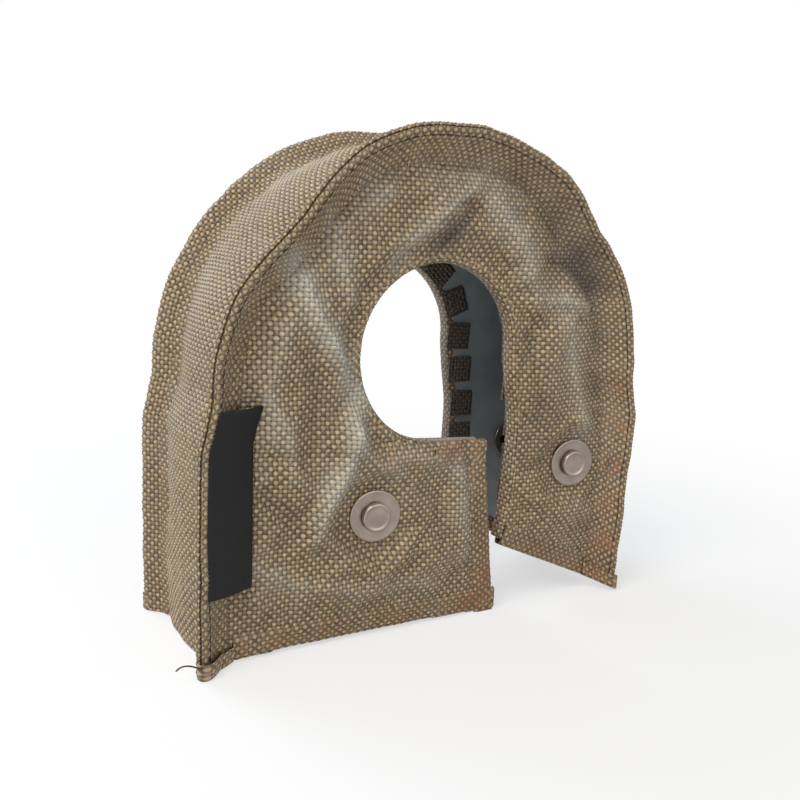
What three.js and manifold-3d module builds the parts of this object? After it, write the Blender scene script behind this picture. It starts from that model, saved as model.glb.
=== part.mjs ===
// Turbocharger heat blanket: a padded fabric horseshoe that wraps the hot housing of a turbocharger.
// Frame: X to the right, Y away from the viewer, Z up; the origin is on the floor under the middle.
// Front and back faces, a band round the arch, insulation and lining behind each, four rivets, a label.

import * as THREE from 'three';
import * as BufferGeometryUtils from 'three/addons/utils/BufferGeometryUtils.js';
import Module from 'manifold-3d';

const wasm = await Module();
wasm.setup();

// Driving sizes in millimetres: the arch and its legs, measured at the seam crest
const ARCH_RADIUS = 92.4;
const ARCH_CENTRE_HEIGHT = 97.2;
const DEPTH = 65.3;
const LEFT_FLARE = 4.1;
const LEFT_FLOOR_FLARE = 3.6;
const RIGHT_FLARE = 4.1;
const RIGHT_FLOOR_FLARE = 0.9;
const FLARE_DROP = 20;
const LEFT_DIP_DEPTH = 6.6;
const LEFT_DIP_ANGLE = 139;
const LEFT_DIP_SPREAD = 17;
const RIGHT_DIP_DEPTH = 3.6;
const RIGHT_DIP_ANGLE = 41;
const RIGHT_DIP_SPREAD = 9;

// The round opening, the foot beside it and the slot to the short leg
const HOLE_RADIUS = 33.5;
const HOLE_X = -1.4;
const HOLE_HEIGHT = 107.3;
const FOOT_LIP = 8.4;
const FOOT_LIP_ANGLE = -56;
const FOOT_CORNER_X = 31.5;
const FOOT_HEM_LIFT = 1.6;
const BACK_DROP = 16;
const SLOT_TOP_WIDTH = 14;
const SLOT_BOTTOM_WIDTH = 4;
const LEG_HEM_HEIGHT = 27.6;
const LEG_CORNER_HEIGHT = 0.45;

// Seam ridges: two turned lobes that stand up at the edge between a face and the band
const RIDGE_HEIGHT = 8;
const RIDGE_LEAN = 45;
const LOBE_THICKNESS = 1.9;
const SEAM_GAP = 0.3;

// Faces: how far each stretch lies behind the seam crest
const VALLEY_WIDTH = 12;
const VALLEY_RECESS = 7.6;
const PAD_RISE = 4.6;
const RIM_RECESS = 6.4;
const RIM_WIDTH = 6;
const PAD_END_FADE = 24;
const BAND_RECESS = 6.4;
const BAND_RISE = 2.4;

// Layers and clearances
const SKIN = 1.2;
const LINER = 0.8;
const CLEARANCE = 0.3;
const WALL = 12.65;
const BAND_PADDING = 7;
const HEM_HEIGHT = 8;
const HEM_THICKNESS = 2.8;

// Turned tabs of the face cloth round the inside of the opening
const TAB_LENGTH = 11;
const TAB_WIDTH = 11.5;
const TAB_PITCH = 15;

// Rivets: a domed button on a wide washer outside, a smaller washer and a clinched end inside
const WASHER_RADIUS = 10.1;
const WASHER_THICKNESS = 1;
const BUTTON_RADIUS = 5.6;
const BUTTON_HEIGHT = 2;
const SHANK_RADIUS = 2;
const INNER_WASHER_RADIUS = 8;
const CLINCH_RADIUS = 3.2;
const CLINCH_HEIGHT = 1.2;
const SEAT_RECESS = 7.4;
const SEAT_FLAT = 17;
const SEAT_BLEND = 10;
const CRUSHED_PADDING = 0.8;
const LEFT_RIVET_INSET = 65.9;
const LEFT_RIVET_DROP = 50;
const BACK_LEFT_RIVET_DROP = 63;
const RIGHT_RIVET_INSET = 24;
const RIGHT_RIVET_DROP = 38.6;
const LEFT_RIVET = { x: LEFT_RIVET_INSET - ARCH_RADIUS, z: ARCH_CENTRE_HEIGHT - LEFT_RIVET_DROP };
const BACK_LEFT_RIVET = { x: LEFT_RIVET.x, z: ARCH_CENTRE_HEIGHT - BACK_LEFT_RIVET_DROP };
const RIGHT_RIVET = { x: ARCH_RADIUS - RIGHT_RIVET_INSET, z: ARCH_CENTRE_HEIGHT - RIGHT_RIVET_DROP };
const RIVETS = [
  { name: 'front_left', side: -1, ...LEFT_RIVET, turn: 9 },
  { name: 'front_right', side: -1, ...RIGHT_RIVET, turn: 8 },
  { name: 'back_left', side: 1, ...BACK_LEFT_RIVET, turn: 4 },
  { name: 'back_right', side: 1, ...RIGHT_RIVET, turn: 4 },
];

// Woven label, caught in the left front seam
const LABEL_WIDTH = 18;
const LABEL_BOTTOM = 28;
const LABEL_TOP = 92;
const LABEL_THICKNESS = 0.7;
const LABEL_LIFT = 1.5;

// Soft folds of each face, from one point to another in the plane of the face. Places are shares of
// the arch's radius, heights are shares of the padding's rise, widths are shares of the valley's width
const FOLD_SHARES = {
  '-1': [
    { from: [-0.671, 1.494], to: [-0.455, 1.126], height: 0.739, width: 0.667 },
    { from: [-0.455, 1.126], to: [-0.4, 0.909], height: 0.783, width: 0.667 },
    { from: [-0.4, 0.909], to: [-0.541, 0.541], height: 0.565, width: 0.75 },
    { from: [-0.108, 1.861], to: [0.303, 1.818], height: 0.478, width: 0.667 },
    { from: [0.368, 1.429], to: [0.671, 1.385], height: 0.522, width: 0.583 },
    { from: [0.649, 1.277], to: [0.584, 0.909], height: 0.478, width: 0.667 },
    { from: [0.065, 0.671], to: [0.152, 0.368], height: 0.478, width: 0.75 },
  ],
  '1': [
    { from: [-0.628, 1.472], to: [-0.476, 1.169], height: 0.522, width: 0.75 },
    { from: [-0.13, 1.84], to: [0.26, 1.818], height: 0.478, width: 0.75 },
    { from: [0.498, 1.515], to: [0.671, 1.212], height: 0.522, width: 0.75 },
    { from: [0.043, 0.649], to: [0.108, 0.368], height: 0.435, width: 0.833 },
  ],
};

// How the padding swells from the valley to the opening, and where the folds fade, as shares
const SWELL_START = 0.34;
const SWELL_END = 0.72;
const SWELL_LEVEL = 0.75;
const FOLD_LEVEL = 0.6;
const FOLD_START = 0.2;
const FOLD_END = 0.9;

const ARCH_STEPS = 18;
const FOOT_STEPS = 6;
const TURN_STEPS = 6;
const LEG_STEPS = 7;
const LABEL_STEPS = 7;
const HOLE_BOTTOM_ANGLE = 268;
const HOLE_LEFT_ANGLE = 200;
const PAD_COLUMNS = 6;
const ROUND_SIDES = 16;
const BAND_ROWS = [-1, -0.6, 0, 0.6, 1];

// Values worked out from the driving sizes
const HALF_DEPTH = DEPTH / 2;
const CAVITY_HALF = HALF_DEPTH - WALL;
const VALLEY_LEVEL = HALF_DEPTH - VALLEY_RECESS;
const RIM_LEVEL = HALF_DEPTH - RIM_RECESS;
const SEAT_LEVEL = HALF_DEPTH - SEAT_RECESS;
const LINER_OUTER = CAVITY_HALF + LINER;
const BAND_INSIDE = BAND_RECESS + SKIN + CLEARANCE;
const BAND_LINER_START = BAND_INSIDE + BAND_PADDING + CLEARANCE;
const TAB_LEVEL = CAVITY_HALF - CLEARANCE;
const RIM_TURN = SKIN + CLEARANCE;
const TAB_ROOT = 0.7 * SKIN;
const TAB_THICKNESS = 0.8 * SKIN;
const TURNED_EDGE = 2.5 * SKIN;
const LOWEST_LEVEL = LINER_OUTER + 2 * CLEARANCE + CRUSHED_PADDING + SKIN;

const radians = THREE.MathUtils.degToRad;
const smooth = (value, low, high) => THREE.MathUtils.smoothstep(value, low, high);
const mix = (a, b, amount) => a + (b - a) * amount;

const foldPlace = ([across, up]) => [across * ARCH_RADIUS, up * ARCH_RADIUS];
const foldOf = (share) => ({
  from: foldPlace(share.from),
  to: foldPlace(share.to),
  height: share.height * PAD_RISE,
  width: share.width * VALLEY_WIDTH,
});
const FOLDS = { '-1': FOLD_SHARES['-1'].map(foldOf), 1: FOLD_SHARES['1'].map(foldOf) };

// The opening's circle and the straight edge of the foot, as points in the plane of a face
const holePoint = (degrees, radius = HOLE_RADIUS) => [
  HOLE_X + radius * Math.cos(radians(degrees)),
  HOLE_HEIGHT + radius * Math.sin(radians(degrees)),
];
const FOOT_CORNER = holePoint(FOOT_LIP_ANGLE, HOLE_RADIUS + FOOT_LIP);

function footEdgeX(z) {
  return mix(FOOT_CORNER_X, FOOT_CORNER[0], Math.min(z / FOOT_CORNER[1], 1));
}

function legEdgeX(z) {
  const start = HOLE_X + HOLE_RADIUS;
  const top = FOOT_CORNER[0] + SLOT_TOP_WIDTH;
  const bottom = footEdgeX(LEG_HEM_HEIGHT) + SLOT_BOTTOM_WIDTH;
  if (z > FOOT_CORNER[1]) {
    return mix(start, top, smooth(HOLE_HEIGHT - z, 0, HOLE_HEIGHT - FOOT_CORNER[1]));
  }
  const drop = (FOOT_CORNER[1] - z) / (FOOT_CORNER[1] - LEG_HEM_HEIGHT);
  return mix(top, bottom, drop * drop);
}

// Seam crest: legs that flare a little towards the floor, and the arch with its soft dips
function legX(z, flare, floorFlare) {
  const below = ARCH_CENTRE_HEIGHT - z;
  const out = flare * smooth(below, 0, FLARE_DROP);
  const toFloor = Math.max(0, below - FLARE_DROP) / (ARCH_CENTRE_HEIGHT - FLARE_DROP);
  return ARCH_RADIUS + mix(out, floorFlare, toFloor * toFloor);
}

function dipAt(degrees) {
  const left = (degrees - LEFT_DIP_ANGLE) / LEFT_DIP_SPREAD;
  const right = (degrees - RIGHT_DIP_ANGLE) / RIGHT_DIP_SPREAD;
  return LEFT_DIP_DEPTH * Math.exp(-left * left) + RIGHT_DIP_DEPTH * Math.exp(-right * right);
}

// Stations: each runs from a point of the seam crest to the matching point of the inner edge.
// The back opening reaches lower over the foot than the front one does
function makeStation(outer, inner, fromEnd, dip = 0) {
  return { outer, inner, fromEnd, dip };
}

function makeStations(side) {
  const drop = side > 0 ? BACK_DROP : 0;
  const lowered = ([x, z], share) => [x, z - drop * share];
  const list = [];
  const footRows = [0, HEM_HEIGHT, HEM_HEIGHT + CLEARANCE, HEM_HEIGHT + 2 * CLEARANCE];
  const step = (FOOT_CORNER[1] - HEM_HEIGHT) / FOOT_STEPS;
  for (let row = 1; row <= FOOT_STEPS; row += 1) footRows.push(HEM_HEIGHT + row * step);
  for (const z of footRows) {
    const inner = lowered([footEdgeX(z), z], z / FOOT_CORNER[1]);
    list.push(makeStation([-legX(z, LEFT_FLARE, LEFT_FLOOR_FLARE), z], inner, z));
  }
  for (let i = 1; i <= TURN_STEPS; i += 1) {
    const share = i / TURN_STEPS;
    const z = mix(FOOT_CORNER[1], ARCH_CENTRE_HEIGHT, share);
    const angle = mix(HOLE_BOTTOM_ANGLE, HOLE_LEFT_ANGLE, (i - 1) / (TURN_STEPS - 1));
    const inner = lowered(holePoint(angle), 1 - smooth(share, 0, 1));
    list.push(makeStation([-legX(z, LEFT_FLARE, LEFT_FLOOR_FLARE), z], inner, z));
  }
  for (let i = 1; i <= ARCH_STEPS; i += 1) {
    const share = i / ARCH_STEPS;
    const angle = 180 - 180 * share;
    const innerAngle = share < 0.5 ? mix(HOLE_LEFT_ANGLE, 90, share * 2) : mix(90, 0, share * 2 - 1);
    const outer = [
      ARCH_RADIUS * Math.cos(radians(angle)),
      ARCH_CENTRE_HEIGHT + ARCH_RADIUS * Math.sin(radians(angle)),
    ];
    list.push(makeStation(outer, holePoint(innerAngle), ARCH_CENTRE_HEIGHT, dipAt(angle)));
  }
  const hemShare = 1 - HEM_HEIGHT / ARCH_CENTRE_HEIGHT;
  const gapShare = CLEARANCE / ARCH_CENTRE_HEIGHT;
  const legShares = [];
  for (let row = 1; row <= LEG_STEPS; row += 1) {
    legShares.push((hemShare - 2 * gapShare) * (row / LEG_STEPS));
  }
  legShares.push(hemShare - gapShare, hemShare, 1);
  for (const share of legShares) {
    const outerZ = mix(ARCH_CENTRE_HEIGHT, LEG_CORNER_HEIGHT, share);
    const innerZ = mix(HOLE_HEIGHT, LEG_HEM_HEIGHT, share);
    list.push(makeStation(
      [legX(outerZ, RIGHT_FLARE, RIGHT_FLOOR_FLARE), outerZ],
      [legEdgeX(innerZ), innerZ],
      ARCH_CENTRE_HEIGHT * (1 - share),
    ));
  }
  return list;
}

const STATIONS = { '-1': makeStations(-1), 1: makeStations(1) };
const isHem = (station) => station.fromEnd <= HEM_HEIGHT + CLEARANCE / 2;
const isCore = (station) => station.fromEnd >= HEM_HEIGHT + 1.5 * CLEARANCE;

// A station seen from one side: its crest point with that side's dip, its direction and its length
function frameOf(station, dipShare) {
  const away = new THREE.Vector2(...station.inner).sub(new THREE.Vector2(...station.outer));
  const direction = away.clone().normalize();
  const start = new THREE.Vector2(...station.outer).addScaledVector(direction, station.dip * dipShare);
  const length = away.length() - station.dip * dipShare;
  return { start, direction, length };
}

function placeAt(frame, offset) {
  return frame.start.clone().addScaledVector(frame.direction, offset);
}

// Height of the padded face above the valley, with its folds and the flat seats of the rivets
function foldHeight(side, x, z) {
  let height = 0;
  for (const fold of FOLDS[side]) {
    const [x0, z0] = fold.from;
    const [x1, z1] = fold.to;
    const lengthSquared = (x1 - x0) ** 2 + (z1 - z0) ** 2;
    const along = THREE.MathUtils.clamp(
      ((x - x0) * (x1 - x0) + (z - z0) * (z1 - z0)) / lengthSquared, 0, 1);
    const away = Math.hypot(x - mix(x0, x1, along), z - mix(z0, z1, along)) / fold.width;
    height = Math.max(height, fold.height * Math.exp(-away * away));
  }
  return height;
}

function seatAt(side, x, z) {
  for (const rivet of RIVETS) {
    const away = Math.hypot(x - rivet.x, z - rivet.z);
    if (rivet.side === side && away < SEAT_FLAT + SEAT_BLEND) {
      const level = SEAT_LEVEL + Math.tan(radians(rivet.turn)) * (x - rivet.x);
      const weight = 1 - smooth(away, SEAT_FLAT, SEAT_FLAT + SEAT_BLEND);
      return { weight, level: Math.max(level, LOWEST_LEVEL) };
    }
  }
  return { weight: 0, level: 0 };
}

function faceLevel(side, station, frame, offset) {
  const point = placeAt(frame, offset);
  const padStart = VALLEY_WIDTH;
  const padEnd = frame.length - RIM_WIDTH;
  const across = THREE.MathUtils.clamp((offset - padStart) / (padEnd - padStart), 0, 1);
  const swell = smooth(across, 0, SWELL_START) * (1 - smooth(across, SWELL_END, 1));
  const endFade = smooth(station.fromEnd, HEM_HEIGHT / 2, HEM_HEIGHT + PAD_END_FADE);
  const base = mix(VALLEY_LEVEL, RIM_LEVEL, across);
  const foldFade = smooth(across, 0, FOLD_START) * (1 - smooth(across, FOLD_END, 1));
  const fold = foldHeight(side, point.x, point.y) * foldFade;
  const level = base + (PAD_RISE * swell * SWELL_LEVEL + fold * FOLD_LEVEL) * endFade;
  const seat = seatAt(side, point.x, point.y);
  return mix(level, seat.level, seat.weight);
}

function padOffsets(frame) {
  const offsets = [VALLEY_WIDTH];
  const span = frame.length - RIM_WIDTH - VALLEY_WIDTH;
  for (let i = 1; i <= PAD_COLUMNS; i += 1) offsets.push(VALLEY_WIDTH + (span * i) / (PAD_COLUMNS + 1));
  offsets.push(frame.length - RIM_WIDTH);
  return offsets;
}

// A closed body through one ring of points at each station. Every point has a reach across the
// section, and each quad is split from its farther point, so that nested layers are split alike.
function loft(rings) {
  const count = rings[0].length;
  const positions = [];
  for (const ring of rings) {
    for (const point of ring) positions.push(point.x, point.y, point.z);
  }
  const index = [];
  for (let i = 0; i + 1 < rings.length; i += 1) {
    for (let j = 0; j < count; j += 1) {
      const next = (j + 1) % count;
      const a = i * count + j;
      const b = i * count + next;
      if (rings[i][next].reach >= rings[i][j].reach) {
        index.push(a, a + count, b, b, a + count, b + count);
      } else {
        index.push(a, a + count, b + count, a, b + count, b);
      }
    }
  }
  closeEnd(index, rings[0], 0, false);
  closeEnd(index, rings[rings.length - 1], (rings.length - 1) * count, true);
  const geometry = new THREE.BufferGeometry();
  geometry.setAttribute('position', new THREE.Float32BufferAttribute(positions, 3));
  geometry.setIndex(index);
  if (signedVolume(geometry) < 0) {
    for (let i = 0; i < index.length; i += 3) [index[i], index[i + 1]] = [index[i + 1], index[i]];
    geometry.setIndex(index);
  }
  return geometry;
}

function closeEnd(index, ring, first, last) {
  const origin = ring[0];
  const reaches = ring.map((p) => p.clone().sub(origin).setY(0));
  const along = reaches.reduce((a, b) => (b.length() > a.length() ? b : a)).clone().normalize();
  const flat = ring.map((p) => new THREE.Vector2(p.clone().sub(origin).dot(along), p.y));
  const turned = THREE.ShapeUtils.isClockWise(flat);
  for (const face of THREE.ShapeUtils.triangulateShape(flat, [])) {
    const [a, b, c] = face.map((i) => first + i);
    if (last === turned) index.push(a, b, c);
    else index.push(a, c, b);
  }
}

function signedVolume(geometry) {
  const p = geometry.getAttribute('position');
  const index = geometry.getIndex().array;
  const a = new THREE.Vector3();
  const b = new THREE.Vector3();
  const c = new THREE.Vector3();
  let sum = 0;
  for (let i = 0; i < index.length; i += 3) {
    a.fromBufferAttribute(p, index[i]);
    b.fromBufferAttribute(p, index[i + 1]);
    c.fromBufferAttribute(p, index[i + 2]);
    sum += a.dot(b.cross(c));
  }
  return sum;
}

// Points of a seam ridge: the crest line, a way down the ridge, and a way out of its middle plane
const RIDGE_DOWN = new THREE.Vector2(Math.cos(radians(RIDGE_LEAN)), -Math.sin(radians(RIDGE_LEAN)));
const RIDGE_OUT = new THREE.Vector2(Math.sin(radians(RIDGE_LEAN)), Math.cos(radians(RIDGE_LEAN)));

function ridgePoint(down, out) {
  return new THREE.Vector2(0, HALF_DEPTH).addScaledVector(RIDGE_DOWN, down).addScaledVector(RIDGE_OUT, out);
}

const LOBE_ROUND = LOBE_THICKNESS / 3;

function reachingPoint(x, y, z, reach) {
  const point = new THREE.Vector3(x, y, z);
  point.reach = reach;
  return point;
}

function toSpace(frame, side, section) {
  const place = placeAt(frame, section.x);
  return reachingPoint(place.x, side * section.y, hemLift(place), section.x);
}

// The foot's hem arches up a little between its two corners
function hemLift(place) {
  const right = footEdgeX(0);
  const left = -ARCH_RADIUS - LEFT_FLOOR_FLARE;
  const share = (place.x - left) / (right - left);
  if (share <= 0 || share >= 1) return place.y;
  const fade = 1 - smooth(place.y, 0, HEM_HEIGHT);
  return place.y + FOOT_HEM_LIFT * Math.sin(Math.PI * share) * fade;
}

// Face cloth: ridge lobe, valley, padded stretch, rim, and the edge turned in behind the lining
function faceSkin(side) {
  const rings = STATIONS[side].map((station) => {
    const frame = frameOf(station, side < 0 ? 1 : 0);
    const thickness = isHem(station) ? HEM_THICKNESS : SKIN;
    const level = (offset) => faceLevel(side, station, frame, offset);
    const section = [];
    const outside = SEAM_GAP / 2 + LOBE_THICKNESS;
    section.push(ridgePoint(0, outside - LOBE_ROUND));
    section.push(ridgePoint(LOBE_ROUND, outside));
    section.push(ridgePoint(RIDGE_HEIGHT, outside));
    for (const offset of padOffsets(frame)) section.push(new THREE.Vector2(offset, level(offset)));
    const end = frame.length;
    section.push(new THREE.Vector2(end - SKIN, RIM_LEVEL));
    section.push(new THREE.Vector2(end, RIM_LEVEL - SKIN));
    section.push(new THREE.Vector2(end, TAB_LEVEL - SKIN / 2));
    section.push(new THREE.Vector2(end - SKIN / 2, TAB_LEVEL - SKIN));
    section.push(new THREE.Vector2(end - TURNED_EDGE, TAB_LEVEL - SKIN));
    section.push(new THREE.Vector2(end - TURNED_EDGE, TAB_LEVEL));
    section.push(new THREE.Vector2(end - SKIN, TAB_LEVEL));
    section.push(new THREE.Vector2(end - SKIN, RIM_LEVEL - SKIN));
    for (const offset of padOffsets(frame).reverse()) {
      section.push(new THREE.Vector2(offset, level(offset) - thickness));
    }
    section.push(ridgePoint(RIDGE_HEIGHT + SKIN, SEAM_GAP / 2));
    section.push(ridgePoint(0, SEAM_GAP / 2));
    return section.map((point) => toSpace(frame, side, point));
  });
  return loft(rings);
}

// Insulation behind a face, from under the band's cloth to the turned rim
function facePadding(side) {
  const rings = STATIONS[side].filter(isCore).map((station) => {
    const frame = frameOf(station, side < 0 ? 1 : 0);
    const level = (offset) => faceLevel(side, station, frame, offset) - SKIN - CLEARANCE;
    const offsets = padOffsets(frame);
    const end = frame.length - RIM_TURN;
    const section = [new THREE.Vector2(BAND_INSIDE, level(VALLEY_WIDTH))];
    for (const offset of offsets) section.push(new THREE.Vector2(offset, level(offset)));
    section.push(new THREE.Vector2(end, RIM_LEVEL - SKIN - 2 * CLEARANCE));
    section.push(new THREE.Vector2(end, LINER_OUTER + CLEARANCE));
    section.push(new THREE.Vector2(BAND_INSIDE, LINER_OUTER + CLEARANCE));
    return section.map((point) => toSpace(frame, side, point));
  });
  return loft(rings);
}

// Lining inside a face
function faceLining(side) {
  const rings = STATIONS[side].filter(isCore).map((station) => {
    const frame = frameOf(station, side < 0 ? 1 : 0);
    const end = frame.length - RIM_TURN;
    const section = [
      new THREE.Vector2(BAND_INSIDE, LINER_OUTER),
      new THREE.Vector2(end, LINER_OUTER),
      new THREE.Vector2(end, CAVITY_HALF),
      new THREE.Vector2(BAND_INSIDE, CAVITY_HALF),
    ];
    return section.map((point) => toSpace(frame, side, point));
  });
  return loft(rings);
}

// Band: one section runs from the front crest over the arch's width to the back crest
function bandPoint(station, offset, y) {
  const inside = HALF_DEPTH - VALLEY_WIDTH;
  const dipShare = THREE.MathUtils.clamp((inside - y) / (2 * inside), 0, 1);
  const place = placeAt(frameOf(station, dipShare), offset);
  return reachingPoint(place.x, y, place.y, y);
}

function bandProfile(y) {
  const inside = HALF_DEPTH - VALLEY_WIDTH;
  const share = THREE.MathUtils.clamp(Math.abs(y) / inside, 0, 1);
  return BAND_RECESS - BAND_RISE * Math.cos((share * Math.PI) / 2);
}

function bandSkin() {
  const rows = BAND_ROWS.map((share) => share * (HALF_DEPTH - VALLEY_WIDTH));
  const outside = -(SEAM_GAP / 2 + LOBE_THICKNESS);
  const rings = STATIONS[-1].map((station) => {
    const thickness = isHem(station) ? HEM_THICKNESS : SKIN;
    const ridge = (side, down, out) => {
      const point = ridgePoint(down, out);
      return bandPoint(station, point.x, side * point.y);
    };
    const ring = [ridge(-1, 0, outside + LOBE_ROUND), ridge(-1, LOBE_ROUND, outside)];
    ring.push(ridge(-1, RIDGE_HEIGHT, outside));
    for (const y of rows) ring.push(bandPoint(station, bandProfile(y), y));
    ring.push(ridge(1, RIDGE_HEIGHT, outside), ridge(1, LOBE_ROUND, outside));
    ring.push(ridge(1, 0, outside + LOBE_ROUND), ridge(1, 0, -SEAM_GAP / 2));
    ring.push(ridge(1, RIDGE_HEIGHT + SKIN / 2, -SEAM_GAP / 2));
    for (const y of [...rows].reverse()) ring.push(bandPoint(station, bandProfile(y) + thickness, y));
    ring.push(ridge(-1, RIDGE_HEIGHT + SKIN / 2, -SEAM_GAP / 2), ridge(-1, 0, -SEAM_GAP / 2));
    return ring;
  });
  return loft(rings);
}

function bandLayer(top, bottom, shares) {
  const half = CAVITY_HALF - CLEARANCE;
  const rows = shares.map((share) => share * half);
  const rings = STATIONS[-1].filter(isCore).map((station) => [
    ...rows.map((y) => bandPoint(station, top(y), y)),
    bandPoint(station, bottom, half),
    bandPoint(station, bottom, -half),
  ]);
  return loft(rings);
}

// Booleans on closed shapes
function toSolid(geometry) {
  const bare = geometry.clone();
  bare.deleteAttribute('normal');
  bare.deleteAttribute('uv');
  const merged = BufferGeometryUtils.mergeVertices(bare, 1e-4);
  return new wasm.Manifold(new wasm.Mesh({
    numProp: 3,
    vertProperties: new Float32Array(merged.getAttribute('position').array),
    triVerts: new Uint32Array(merged.getIndex().array),
  }));
}

function toGeometry(solid) {
  const mesh = solid.getMesh();
  const geometry = new THREE.BufferGeometry();
  geometry.setAttribute('position', new THREE.BufferAttribute(new Float32Array(mesh.vertProperties), 3));
  geometry.setIndex(new THREE.BufferAttribute(new Uint32Array(mesh.triVerts), 1));
  return geometry;
}

// A rivet's axis: its local Z points out of the face, with zero on the seat
function rivetMatrix(rivet) {
  const turn = radians(rivet.turn);
  const outward = new THREE.Vector3(-Math.sin(turn), rivet.side * Math.cos(turn), 0);
  const spin = new THREE.Quaternion().setFromUnitVectors(new THREE.Vector3(0, 0, 1), outward);
  const place = new THREE.Vector3(rivet.x, rivet.side * SEAT_LEVEL, rivet.z);
  return new THREE.Matrix4().compose(place, spin, new THREE.Vector3(1, 1, 1));
}

// Reach from the seat to the inner washer, whose rim just clears the flat lining when it is turned
function rivetGrip(rivet) {
  const turn = radians(rivet.turn);
  return (SEAT_LEVEL - CAVITY_HALF) / Math.cos(turn) + INNER_WASHER_RADIUS * Math.tan(turn);
}

function roundBar(radius, from, to, rivet) {
  const bar = new THREE.CylinderGeometry(radius, radius, to - from, ROUND_SIDES);
  bar.rotateX(Math.PI / 2);
  bar.translate(0, 0, (from + to) / 2);
  bar.applyMatrix4(rivetMatrix(rivet));
  return toSolid(bar);
}

// Each face layer is pierced for the shanks, and the cloth is shaved flat under the washers
function pierce(geometry, side, bedded = false) {
  let solid = toSolid(geometry);
  for (const rivet of RIVETS.filter((each) => each.side === side)) {
    const grip = rivetGrip(rivet);
    const reach = PAD_RISE + WASHER_RADIUS;
    solid = solid.subtract(roundBar(SHANK_RADIUS + CLEARANCE, -grip - reach, reach, rivet));
    if (bedded) solid = solid.subtract(roundBar(WASHER_RADIUS + CLEARANCE, 0, reach, rivet));
  }
  return toGeometry(solid);
}

// Tabs of the turned edge, laid flat on the lining round the opening and down the short leg
function tabSolid(side, x, z, degrees) {
  const tab = new THREE.BoxGeometry(TAB_LENGTH, TAB_THICKNESS, TAB_WIDTH);
  tab.translate(TAB_LENGTH / 2 + TAB_ROOT, 0, 0);
  tab.rotateY(-radians(degrees));
  tab.translate(x, side * (TAB_LEVEL - SKIN / 2), z);
  return toSolid(tab);
}

function addTabs(geometry, side) {
  let solid = toSolid(geometry);
  const turn = THREE.MathUtils.radToDeg(TAB_PITCH / (HOLE_RADIUS + TAB_LENGTH / 2));
  const lastAngle = side < 0 ? HOLE_LEFT_ANGLE + 2 * turn : HOLE_LEFT_ANGLE;
  for (let angle = 0; angle <= lastAngle; angle += turn) {
    solid = solid.add(tabSolid(side, ...holePoint(angle), angle));
  }
  for (let z = HOLE_HEIGHT - TAB_PITCH; z > LEG_HEM_HEIGHT + 2 * HEM_HEIGHT; z -= TAB_PITCH) {
    solid = solid.add(tabSolid(side, legEdgeX(z), z, 0));
  }
  return toGeometry(solid);
}

function lathe(points) {
  const profile = points.map(([radius, height]) => new THREE.Vector2(radius, height));
  const geometry = new THREE.LatheGeometry(profile, ROUND_SIDES);
  geometry.rotateX(Math.PI / 2);
  return geometry;
}

function ringGeometry(radius, bore, from, to) {
  const soft = (to - from) / 3;
  return lathe([
    [bore, from], [radius, from], [radius, to - soft], [radius - soft, to], [bore, to], [bore, from],
  ]);
}

function buttonGeometry(grip) {
  const base = WASHER_THICKNESS + 2 * CLEARANCE;
  const soft = BUTTON_HEIGHT / 4;
  const end = -grip - LINER - 2 * CLEARANCE;
  return lathe([
    [0, end - CLINCH_HEIGHT],
    [CLINCH_RADIUS, end - CLINCH_HEIGHT],
    [CLINCH_RADIUS, end],
    [SHANK_RADIUS, end],
    [SHANK_RADIUS, base],
    [BUTTON_RADIUS, base],
    [BUTTON_RADIUS, base + BUTTON_HEIGHT - soft],
    [BUTTON_RADIUS - soft, base + BUTTON_HEIGHT],
    [0, base + BUTTON_HEIGHT],
  ]);
}

// Label: a thin plate from the ridge's flank over the valley to the padded face
function labelGeometry() {
  const rings = [];
  for (let row = 0; row <= LABEL_STEPS; row += 1) {
    const z = mix(LABEL_BOTTOM, LABEL_TOP, row / LABEL_STEPS);
    const inner = [footEdgeX(z), z];
    const station = makeStation([-legX(z, LEFT_FLARE, LEFT_FLOOR_FLARE), z], inner, z);
    const frame = frameOf(station, 1);
    const outside = SEAM_GAP / 2 + LOBE_THICKNESS + CLEARANCE;
    const top = ridgePoint(RIDGE_HEIGHT / 4, outside);
    const endOffset = top.x + LABEL_WIDTH;
    const bottomLevel = faceLevel(-1, station, frame, endOffset) + LABEL_LIFT;
    const end = new THREE.Vector2(endOffset, Math.min(bottomLevel, top.y));
    const section = [
      top,
      end,
      end.clone().add(new THREE.Vector2(0, LABEL_THICKNESS)),
      top.clone().add(new THREE.Vector2(0, LABEL_THICKNESS)),
    ];
    rings.push(section.map((point) => toSpace(frame, -1, point)));
  }
  return loft(rings);
}

// Finishes
const clothColour = { color: 0x5f5340, roughness: 0.55, metalness: 0.15 };
const liningColour = { color: 0x6f7880, roughness: 0.8, metalness: 0 };
const paddingColour = { color: 0xd8d4c8, roughness: 0.95, metalness: 0 };
const steelColour = { color: 0x8d857c, roughness: 0.3, metalness: 1 };
const labelColour = { color: 0x0c0c12, roughness: 0.45, metalness: 0 };

const blanket = new THREE.Group();

function addPiece(name, geometry, finish, matrix) {
  const mesh = new THREE.Mesh(geometry, new THREE.MeshStandardMaterial(finish));
  mesh.name = name;
  if (matrix) matrix.decompose(mesh.position, mesh.quaternion, mesh.scale);
  blanket.add(mesh);
}

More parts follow.
